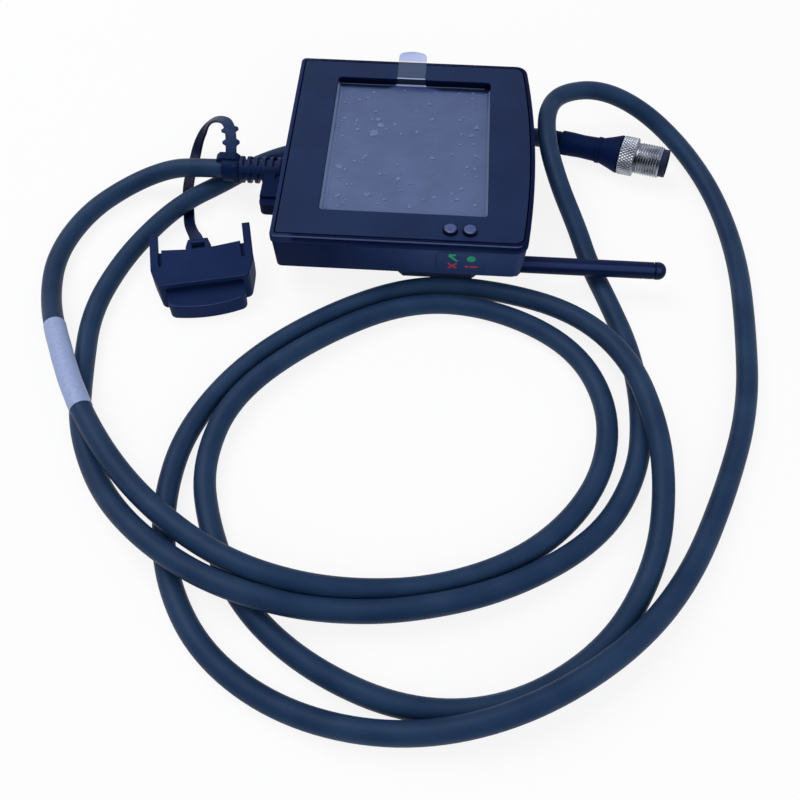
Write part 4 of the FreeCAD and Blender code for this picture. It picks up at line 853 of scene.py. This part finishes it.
def film_height(x, y):
    """Height of the film's underside: slow waves, a lift near its edge, and two curled sides."""
    # One wave runs across the film and meanders, and one runs along it, a little askew.
    wave = math.sin(x / 5.1 + 0.7 * math.sin(y / 7.3)) + math.sin(y / 4.3 + x / 11.0)
    sides = (x - FILM_X[0], FILM_X[1] - x)
    edge = min(*sides, y - FILM_Y[0], film_far(x) - y)
    lift = LIFT * clamped(1 - edge / LIFT_RUN) ** 2
    curl = max(rise * max(0.0, 1 - side / CURL_RUN) for rise, side in zip(CURLS, sides))
    return FILM_FLOOR + ADHESIVE + FILM_WAVE * wave + lift + curl


film_middle = film_height(between(FILM_X, 0.5), between(FILM_Y, 0.5))
print(f"film: {film_middle - FILM_FLOOR:.2f} mm above the glass in its middle")

# %% [markdown]
# A grid of points takes these heights. Its faces have no thickness yet, and a solidify
# modifier gives them the film's own.

# %% Lay the film
FILM_CELLS = (58, 70)


def skin_grid(name, rows, sharp_degrees=SHARP_DEGREES):
    """An open skin over rows of points that all have the same length."""
    wide = len(rows[0])
    points = [point for row in rows for point in row]
    faces = []
    for number in range(len(rows) - 1):
        for step in range(wide - 1):
            corner = number * wide + step
            faces.append((corner, corner + 1, corner + wide + 1, corner + wide))
    return new_piece(name, points, faces, sharp_degrees)


def thicken(sheet, thickness):
    """Gives an open sheet a thickness in millimetres, on its upper side."""
    solid = sheet.modifiers.new("thickness", "SOLIDIFY")
    solid.thickness = thickness * MM
    solid.offset = 1


film_rows = []
for row in range(FILM_CELLS[1] + 1):
    film_row = []
    for step in range(FILM_CELLS[0] + 1):
        x = between(FILM_X, step / FILM_CELLS[0])
        y = between((FILM_Y[0], film_far(x)), row / FILM_CELLS[1])
        film_row.append(Vector((x, y, film_height(x, y))) * MM)
    film_rows.append(film_row)
film_sheet = skin_grid("film_sheet", film_rows)
thicken(film_sheet, FILM_THICKNESS)
print(f"film: {FILM_X[1] - FILM_X[0]:.1f} x {FILM_Y[1] - FILM_Y[0]:.1f} mm")

# %% [markdown]
# The film's adhesive is hazy, so the dark screen below looks grey blue through it. It is
# lighter along its left and near borders, and a little lighter towards the front. The haze is
# in the colour, and the gloss of the PET comes from a low roughness.

# %% Finish the film
HAZE_MM = 9.0
HAZE_SHARE = 0.4
BORDER = 2.2
PET_IOR = 1.57
# What whitens or darkens the film: an axis, two places on it in millimetres, and the change at
# each. First the left and the near border, then a lightening towards the front, and the tab's
# thin shoulders past the film's far edge.
FILM_TONE_RUNS = [
    ("X", FILM_X[0], FILM_X[0] + BORDER, 0.7, 0.0), ("Y", FILM_Y[0], FILM_Y[0] + BORDER, 0.6, 0.0),
    ("Y", FILM_Y[0], FILM_FAR[1], 0.22, 0.04), ("Y", FILM_FAR[1] - 1.5, FILM_Y[1], 0.0, -0.2),
]

pet_film, tree, skin, place = new_finish("pet_film_hazy_adhesive")
axes = add_node(tree, "ShaderNodeSeparateXYZ", {"Vector": place})
haze = add_node(tree, "ShaderNodeTexNoise", {
    "Vector": place, "Scale": 1 / (HAZE_MM * MM), "Detail": 4.0})
left_border, near_border, front_lightening, thin_end = [
    add_node(tree, "ShaderNodeMapRange", {
        "Value": axes.outputs[axis], "From Min": start * MM, "From Max": stop * MM,
        "To Min": low, "To Max": high})
    for axis, start, stop, low, high in FILM_TONE_RUNS]
border = add_node(tree, "ShaderNodeMath", {0: left_border, 1: near_border}, operation="MAXIMUM")
cloud = add_node(tree, "ShaderNodeMath", {0: haze, 1: HAZE_SHARE, 2: border},
                 operation="MULTIPLY_ADD")
for change in (front_lightening, thin_end):
    cloud = add_node(tree, "ShaderNodeMath", {0: cloud, 1: change}, operation="ADD")
tones = add_node(tree, "ShaderNodeValToRGB", {"Fac": cloud}, stops=[
    (0.0, linear("#263868")), (0.95, linear("#5f72a0"))])
feed(tree, skin, {"Base Color": tones, "Roughness": 0.3, "IOR": PET_IOR,
                  "Specular IOR Level": 0.45})
place_piece(film_sheet, pet_film, "display", "film", "protective_film")

# %% [markdown]
# ## The lip at the window's foot
#
# At the far side of the window the film ends short, and a thin lip of the gasket shows as a
# pale line at the wall's foot. It is pressed out by the touch panel and wavers a little, so it
# is a row of small rounded sections, each set a touch to and fro.

# %% Press out the lip
LIP_X = (-42.0, 14.6)
LIP_Y = 36.5
LIP_STEPS = 60
# How far the lip sways to and fro, and over which length, in a slow and a quick wave.
LIP_SWAYS = ((0.05, 3.7), (0.03, 1.9))
# The lip's outline, as distance and height from its foot.
LIP_SECTION = [(-0.22, 0.0), (-0.2, 0.2), (-0.08, 0.32), (0.1, 0.34), (0.24, 0.26), (0.28, 0.0)]
lip_rings = []
for step in range(LIP_STEPS + 1):
    x = between(LIP_X, step / LIP_STEPS)
    sway = sum(reach * math.sin(x / run) for reach, run in LIP_SWAYS)
    lip_rings.append([Vector((x, LIP_Y + sway + y, FILM_FLOOR + z)) * MM for y, z in LIP_SECTION])
window_lip = skin_rings("window_lip", lip_rings)
# The seal's silicone, painted paler than the seal as painted light, so that the lip shows as a
# pale line in the shade at the wall's foot. It is a little shiny.
lip_rubber = moulded_plastic(
    "silicone_lip_painted_light", "#34446f", "#3c4d7a", grain_mm=0.5, depth_mm=0.02, rough=0.5,
    gleam=0.2)
place_piece(window_lip, lip_rubber, "display", "seal_rubber")
print(f"lip: {LIP_X[1] - LIP_X[0]:.1f} mm long")

# %% [markdown]
# ## Air bubbles under the film
#
# The film went on dry, so air is caught under it in irregular bubbles, most of them near the
# two long edges. Each one is a low dome with a wavering outline. The larger ones are placed
# where they are seen, and the small ones are sown with a seeded random generator, so that
# they fall in the same places on each run.

# %% Place the bubbles
# Share of the film's width and depth, and radius in millimetres, of the larger bubbles.
LARGE_BUBBLES = [
    (0.27, 0.61, 1.6), (0.305, 0.67, 1.4), (0.29, 0.715, 1.0), (0.245, 0.715, 0.6),
    (0.345, 0.645, 0.5), (0.395, 0.68, 0.8), (0.44, 0.61, 0.6), (0.54, 0.63, 0.8),
    (0.16, 0.63, 0.85), (0.07, 0.715, 0.85), (0.07, 0.575, 0.6), (0.61, 0.86, 0.8),
    (0.63, 0.735, 0.85), (0.20, 0.89, 0.7), (0.24, 0.94, 0.7), (0.64, 0.95, 0.5),
    (0.80, 0.955, 0.6), (0.885, 0.915, 0.5), (0.815, 0.74, 0.65), (0.835, 0.76, 0.5),
    (0.92, 0.685, 1.15), (0.89, 0.62, 1.2), (0.905, 0.555, 0.65), (0.92, 0.465, 0.7),
    (0.77, 0.47, 0.65), (0.65, 0.44, 0.9), (0.875, 0.385, 0.55), (0.915, 0.37, 0.8),
    (0.655, 0.32, 0.45), (0.235, 0.43, 0.7), (0.22, 0.41, 0.65), (0.17, 0.39, 0.7),
    (0.225, 0.375, 0.45), (0.08, 0.34, 1.2), (0.335, 0.30, 0.7), (0.45, 0.27, 0.8),
    (0.53, 0.24, 0.4), (0.635, 0.22, 0.4), (0.84, 0.22, 0.65), (0.14, 0.215, 0.55),
    (0.17, 0.22, 0.5), (0.095, 0.135, 0.95), (0.275, 0.15, 1.15), (0.38, 0.12, 0.65),
    (0.675, 0.15, 0.75), (0.74, 0.17, 0.4), (0.535, 0.08, 0.85), (0.925, 0.11, 0.8),
]
# Number and radii of the small ones, and the shares of width and depth that they are sown in.
SMALL_BUBBLES = 95
SMALL_RADII = (0.22, 0.72)
SOWN_WIDE, SOWN_DEEP = (0.02, 0.98), (0.02, 0.97)
# They crowd up to the first and past the second share of the width. In between, few stay.
CROWDED = (0.3, 0.68)
SPARSE = 0.18

draw = random.Random(20)
bubbles = [(between(FILM_X, u), between(FILM_Y, v), radius) for u, v, radius in LARGE_BUBBLES]
while len(bubbles) < len(LARGE_BUBBLES) + SMALL_BUBBLES:
    u, v = draw.uniform(*SOWN_WIDE), draw.uniform(*SOWN_DEEP)
    crowd = max(1 - u / CROWDED[0], (u - CROWDED[1]) / (1 - CROWDED[1]), SPARSE)
    radius = between(SMALL_RADII, draw.random() ** 2)
    if draw.random() < crowd:
        bubbles.append((between(FILM_X, u), between(FILM_Y, v), radius))
print(f"bubbles: {len(bubbles)}, {SMALL_BUBBLES} of them small")

# %% [markdown]
# Each bubble stretches and leans its own way, as the hand that wiped the film down left it.
# Four wavering rings and a flat top make its low dome, and all the domes are one mesh.

# %% Blow the bubbles
BUBBLE_SIDES = 14
# How much an outline wavers in and out, and how much a bubble is stretched, least and most.
WOBBLE = (-0.28, 0.22)
STRETCH = (0.75, 1.35)
# A dome's rings from its foot to its top: share of the radius, and share of the height.
DOME_RINGS = ((1.0, 0.0), (0.82, 0.5), (0.5, 0.85), (0.2, 1.0))
# Height of a dome as a share of its radius, the most that it is, and its foot above the film.
DOME_SHARE = 0.12
DOME_MOST = 0.14
DOME_FOOT = 0.02

domes = []
for x, y, radius in bubbles:
    wobble = [draw.uniform(*WOBBLE) for side in range(BUBBLE_SIDES)]
    stretch, lean = draw.uniform(*STRETCH), draw.uniform(0, math.tau)
    dome = []
    for size, height in DOME_RINGS:
        rise = FILM_THICKNESS + DOME_FOOT + height * min(DOME_SHARE * radius, DOME_MOST)
        ring = []
        for side, bulge in enumerate(wobble):
            turn = math.tau * side / BUBBLE_SIDES
            reach = radius * size * (1 + bulge * size)
            a, b = reach * stretch * math.cos(turn), reach / stretch * math.sin(turn)
            px = x + a * math.cos(lean) - b * math.sin(lean)
            py = y + a * math.sin(lean) + b * math.cos(lean)
            ring.append(Vector((px, py, film_height(px, py) + rise)) * MM)
        dome.append(ring)
    domes.append(dome)
film_bubbles = skin_rings("film_bubbles", *domes, foot=False, sharp_degrees=60)
print(f"domes: {len(film_bubbles.data.polygons)} faces")

# %% [markdown]
# Over a bubble the adhesive doesn't touch the glass. Light comes back from both of its faces,
# so a bubble looks paler than the film round it.

# %% Finish the bubbles
MIST_MM = 1.5
caught_air, tree, skin, *_ = two_toned(
    "pet_film_over_air", MIST_MM, 2.0, "#56658f", "#65749b")
feed(tree, skin, {"Roughness": 0.45, "IOR": PET_IOR, "Specular IOR Level": 0.3})
place_piece(film_bubbles, caught_air, "display", "film")

# %% [markdown]
# ## The pull tab
#
# A strip of clear tape stands out from the film, climbs the window's edge and lies across the
# plate, so that a finger can peel the film off. It is folded at the window's foot and at the
# plate, springs up past the rim, and its end is cut round. Rows of points follow its side
# view, and a subdivision surface rounds the folds.

# %% Fold the pull tab
TAB_MIDDLE = -14.1
TAB_WIDTH = 10.9
TAB_SAG = 0.08
TAB_STEPS = 8
TAPE_THICKNESS = 0.1
# Places along the tab: distance from the origin, height, width, and how far the middle of the
# row is ahead of its ends.
TAB_SIDE = [
    (35.9, 22.95, 12.6, 0.0), (36.35, 22.86, 12.2, 0.0), (36.6, 23.1, 11.2, 0.0),
    (36.72, 24.2, TAB_WIDTH, 0.0), (36.8, 25.4, TAB_WIDTH, 0.0), (36.95, 25.9, TAB_WIDTH, 0.0),
    (37.4, 25.98, TAB_WIDTH, 0.0), (38.3, 25.85, TAB_WIDTH, 0.0), (41.0, 25.8, TAB_WIDTH, 0.0),
    (44.0, 25.85, TAB_WIDTH, 0.0), (46.4, 26.05, TAB_WIDTH, 0.2), (48.0, 26.5, TAB_WIDTH, 0.6),
    (49.0, 26.9, 10.8, 1.0), (49.7, 27.2, 10.1, 1.3), (50.1, 27.4, 8.7, 1.2),
]
tab_rows = []
for y, z, width, ahead in TAB_SIDE:
    tab_row = []
    for step in range(TAB_STEPS + 1):
        side = between((-1, 1), step / TAB_STEPS)
        bow = 1 - side ** 2
        tab_row.append(Vector((
            TAB_MIDDLE + width / 2 * side, y + ahead * bow, z - TAB_SAG * bow)) * MM)
    tab_rows.append(tab_row)
pull_tab = skin_grid("pull_tab", tab_rows, sharp_degrees=180)
round_folds = pull_tab.modifiers.new("rounded_folds", "SUBSURF")
round_folds.levels = round_folds.render_levels = 2
thicken(pull_tab, TAPE_THICKNESS)
print(f"pull tab: {len(tab_rows)} rows, {TAB_WIDTH} mm wide")

# %% [markdown]
# The tab is clear PET tape. It is hardly seen over the dark recess, greys the plate below it,
# partly as painted reflection, and tints the white table blue. Both folds carry painted
# highlights, with a strip of painted shade just past the upper one. Height and distance both
# grow along the tab, so their sum says how far along it a point is.

# %% Finish the pull tab
SCUFF_MM = 2.5
# Distance plus height along the tab in millimetres, cover there, and colour. The bright stops
# at the two folds are painted highlights, the dark one just past the upper fold is painted
# shade, and the greyer cover over the plate is partly painted reflection.
TAPE_STOPS = [
    (58.8, 0.3, "#7c8cb0"), (59.2, 0.85, "#a9b6d6"), (59.7, 0.85, "#a9b6d6"),
    (60.0, 0.05, "#6c7ea2"), (62.4, 0.05, "#6c7ea2"), (62.6, 0.9, "#b3bfdc"),
    (63.0, 0.9, "#b3bfdc"), (63.2, 0.12, "#5f7096"), (64.2, 0.19, "#6c7ea2"),
    (73.2, 0.21, "#6c7ea2"), (73.9, 0.75, "#b8c6f2"), (77.0, 0.75, "#b0c0ec"),
    (78.2, 0.8, "#a0b0d8"),
]
TAPE_START, TAPE_END = TAPE_STOPS[0][0], TAPE_STOPS[-1][0]

clear_tape, tree, skin, place = new_finish("pet_tape_clear")
axes = add_node(tree, "ShaderNodeSeparateXYZ", {"Vector": place})
along = add_node(tree, "ShaderNodeMath", {0: axes.outputs["Y"], 1: axes.outputs["Z"]},
                 operation="ADD")
run = add_node(tree, "ShaderNodeMapRange", {
    "Value": along, "From Min": TAPE_START * MM, "From Max": TAPE_END * MM})
# One ramp gives both: the tint is its colour, and the cover its alpha.
tape = add_node(tree, "ShaderNodeValToRGB", {"Fac": run}, stops=[
    ((stop - TAPE_START) / (TAPE_END - TAPE_START), (*linear(tint)[:3], cover))
    for stop, cover, tint in TAPE_STOPS])
scuffs = add_node(tree, "ShaderNodeTexNoise", {
    "Vector": place, "Scale": 1 / (SCUFF_MM * MM), "Detail": 3.0})
polish = add_node(tree, "ShaderNodeMapRange", {"Value": scuffs, "To Min": 0.25, "To Max": 0.45})
feed(tree, skin, {"Base Color": tape, "Alpha": tape.outputs["Alpha"], "Roughness": polish,
                  "IOR": PET_IOR, "Specular IOR Level": 0.3})
place_piece(pull_tab, clear_tape, "display", "film")

# %% [markdown]
# ## The sign plate on the front wall
#
# Below the two lights a thin overlay sticks to the case's front wall. It carries four plain
# signs that say what the lights mean: a tick and a cross under one, a dot and a broken bar
# under the other. The overlay could be painted on with a texture. As thin raised shapes, cast
# onto the wall with rays, plate and signs follow its slope and stay sharp from close by.

# %% Cut the sign plate
PLATE_X = (-0.5, 16.8)
PLATE_Z = (11.0, 21.2)
PLATE_ROUND = 2.4
# How far the foot and the top of the plate and of the signs stand off the wall.
PLATE_LIFTS = (-0.05, 0.18)
SIGN_LIFTS = (0.1, 0.24)
# The wall is found by rays that start in front of the case.
RAY_START_Y = -100
front_wall = BVHTree.FromObject(nodes["rear_cover"], bpy.context.evaluated_depsgraph_get())


def on_front_wall(x, z, lift):
    """A point at a place in millimetres on the case's front wall, lifted off it."""
    start = Vector((x, RAY_START_Y, z)) * MM
    spot, normal, _, _ = front_wall.ray_cast(start, Vector((0, 1, 0)))
    return spot + normal * lift * MM


def raise_shapes(name, shapes, lifts):
    """Flat raised shapes on the front wall, each an outline and its place in millimetres."""
    return skin_rings(name, *[
        [[on_front_wall(x + px, z + pz, lift) for px, pz in outline] for lift in lifts]
        for outline, x, z in shapes])


def rounded_plate(xs, zs, radius, steps=8):
    """Outline of a plate with round corners."""
    outline = []
    centres = ((xs[1] - radius, zs[1] - radius), (xs[0] + radius, zs[1] - radius),
               (xs[0] + radius, zs[0] + radius), (xs[1] - radius, zs[0] + radius))
    for number, (x, z) in enumerate(centres):
        for step in range(steps + 1):
            turn = math.radians(90 * number + 90 * step / steps)
            outline.append((x + radius * math.cos(turn), z + radius * math.sin(turn)))
    return outline


TICK = [(-1.75, 1.2), (-1.2, 1.9), (0.9, 1.7), (0.85, 1.0), (-0.45, 0.8), (1.8, -1.7),
        (1.2, -2.2), (-1.7, 0.5)]
CROSS = [(-1.7, 1.0), (-1.2, 1.6), (0, 0.55), (1.2, 1.6), (1.7, 1.0), (0.65, 0),
         (1.7, -1.0), (1.2, -1.6), (0, -0.55), (-1.2, -1.6), (-1.7, -1.0), (-0.65, 0)]
DOT_RADIUS, DOT_POINTS = 1.5, 32
dot_turns = [math.tau * step / DOT_POINTS for step in range(DOT_POINTS)]
DOT = [(DOT_RADIUS * math.cos(turn), DOT_RADIUS * math.sin(turn)) for turn in dot_turns]
SHORT_BAR = rounded_plate((-2.3, -0.95), (-0.5, 0.5), 0.4, 4)
LONG_BAR = rounded_plate((-0.6, 2.3), (-0.5, 0.5), 0.4, 4)

sign_plate = raise_shapes("sign_plate", [
    (rounded_plate(PLATE_X, PLATE_Z, PLATE_ROUND), 0, 0)], PLATE_LIFTS)
green_signs = raise_shapes("green_signs", [(TICK, 5.4, 18.7), (DOT, 11.6, 18.4)], SIGN_LIFTS)
red_signs = raise_shapes("red_signs", [
    (CROSS, 5.2, 14.4), (SHORT_BAR, 11.75, 14.2), (LONG_BAR, 11.75, 14.2)], SIGN_LIFTS)
print("signs on the front wall: tick, cross, dot, broken bar")

# %% [markdown]
# The overlay is polyester film, printed on its back and a little glossier than the case. The
# inks are opaque, with the faint mottle that screen printing leaves.

# %% Finish the sign plate
# Polyester with a fine emboss: smoother than the case below it.
sign_film = moulded_plastic(
    "polyester_overlay", "#263862", "#2c3f68", grain_mm=0.6, depth_mm=0.01, rough=0.34,
    gleam=0.12)
# The mesh of a real screen is finer. At 0.5 mm its mottle still shows in the render.
MESH_MM = 0.5


def screen_ink(name, dark, light):
    """Opaque ink from a screen, with the mesh's faint mottle."""
    finish, tree, skin, *_ = two_toned(name, MESH_MM, 2.0, dark, light)
    feed(tree, skin, {"Roughness": 0.4, "Specular IOR Level": 0.4})
    return finish


green_ink = screen_ink("ink_screened_green", "#0f8a62", "#18a878")
red_ink = screen_ink("ink_screened_red", "#a0303f", "#b84050")
place_piece(sign_plate, sign_film, "display", "face_plate")
place_piece(green_signs, green_ink, "display", "face_plate")
place_piece(red_signs, red_ink, "display", "face_plate")

# %% [markdown]
# ## The cords
#
# A cord is more than its shape: it has a length, a thickness, a point where it leaves the
# object, and something on its far end. Here the cable and the strap only get their shapes.

print("cords: cable and strap")

# %% [markdown]
# ## The table
#
# The display lies on a white table, one large flat sheet. More light would make a grey sheet
# white, but would also wash out the object. So to the camera, and to what mirrors and clear
# pieces see, the sheet is mostly its own white. The rest of it is lit, so that the object's
# soft shadow stays on it.

# %% Set the table
TABLE_SIZE = 4000.0
# A hair below the object, so that no two faces lie in one plane.
TABLE_DROP = 0.15
OWN_WHITE = 0.86
STAGE_CELLS = 8


def stage_sheet(name, low, high):
    """A flat sheet between two opposite corners in millimetres, with one side along X."""
    shares = [step / STAGE_CELLS for step in range(STAGE_CELLS + 1)]
    return skin_grid(name, [[Vector((
        between((low[0], high[0]), across), between((low[1], high[1]), row),
        between((low[2], high[2]), row))) * MM for across in shares] for row in shares])


def seen_share(tree):
    """1 for what the camera, a mirror or a clear piece sees, and 0 for light on its way."""
    rays = add_node(tree, "ShaderNodeLightPath").outputs
    share = rays["Is Camera Ray"]
    for kind in ("Is Glossy Ray", "Is Transmission Ray"):
        share = add_node(tree, "ShaderNodeMath", {0: share, 1: rays[kind]}, operation="MAXIMUM")
    return share


white_table = stage_sheet("white_table", (-TABLE_SIZE / 2, -TABLE_SIZE / 2, -TABLE_DROP),
                          (TABLE_SIZE / 2, TABLE_SIZE / 2, -TABLE_DROP))
# Matt white laminate: no gloss at all, so nothing mirrors in it.
table_white, tree, skin, _ = new_finish("table_white_matt")
feed(tree, skin, {"Base Color": linear("#f7f7f7"), "Roughness": 1.0, "Specular IOR Level": 0.0})
own = add_node(tree, "ShaderNodeMath", {0: seen_share(tree), 1: OWN_WHITE}, operation="MULTIPLY")
glow = add_node(tree, "ShaderNodeEmission", {"Strength": 1.0})
both = add_node(tree, "ShaderNodeMixShader", {0: own, 1: skin, 2: glow})
feed(tree, tree.nodes["Material Output"], {"Surface": both})
white_table.data.materials.append(table_white)
print(f"table: {TABLE_SIZE * MM:.0f} m square")

# %% [markdown]
# Round metal looks flat in a room that is white all over. A photographer stands a dark card
# on the camera's side for it. This card is seen by reflections alone, so that the bright
# streak and the dark streak along the nut come from it, and the soft light stays as it is.

# %% Stand the dark card
CARD_LOW = (-1500.0, -1000.0, 20.0)
CARD_HIGH = (1500.0, -1000.0, 1500.0)
PULP_MM = 40.0
dark_card = stage_sheet("dark_card", CARD_LOW, CARD_HIGH)
for kind in ("camera", "diffuse", "transmission", "volume_scatter", "shadow"):
    setattr(dark_card, "visible_" + kind, False)
# Black card, matt from its loose pulp.
card_black, tree, skin, *_ = two_toned(
    "card_black_matt", PULP_MM, 2.0, "#12151c", "#1a1e26")
feed(tree, skin, {"Roughness": 1.0, "Specular IOR Level": 0.0})
dark_card.data.materials.append(card_black)
print(f"card: {(CARD_HIGH[0] - CARD_LOW[0]) * MM:.0f} m wide")

# %% [markdown]
# ## The light
#
# The photograph has the even light of a product shot, with soft shadows and soft streaks. A
# single lamp would make both hard. Here the whole room gives light, a large soft box hangs
# above, and a weaker one opens the shade in front. The room looks white, but lights with a
# third of that, so that each colour comes out about as it is written.

# %% Set the lights
AIR_LIGHT = 0.32
air = bpy.data.worlds.new("studio_air")
air.use_nodes = True
bpy.context.scene.world = air
tree = air.node_tree
level = add_node(tree, "ShaderNodeMapRange", {
    "Value": seen_share(tree), "To Min": AIR_LIGHT, "To Max": 1.0})
feed(tree, tree.nodes["Background"], {"Color": linear("#f4f8ff"), "Strength": level})


def soft_box(name, place, aim, side, watts):
    """A square soft box at a place in metres, turned to its aim."""
    box = add_object(name, bpy.data.lights.new(name, "AREA"))
    box.data.size = side
    box.data.energy = watts
    turn_to(box, place, aim)
    return box


soft_box("top_light", place=(-0.55, 0.25, 1.05), aim=(-0.01, -0.07, 0.0), side=0.9, watts=9.0)
front_fill = soft_box(
    "front_fill", place=(0.6, -0.9, 0.7), aim=(0.0, -0.05, 0.0), side=0.8, watts=6.0)
front_fill.visible_glossy = False
bpy.context.scene.view_settings.view_transform = "Standard"
print("lights: studio air, top light, front fill")
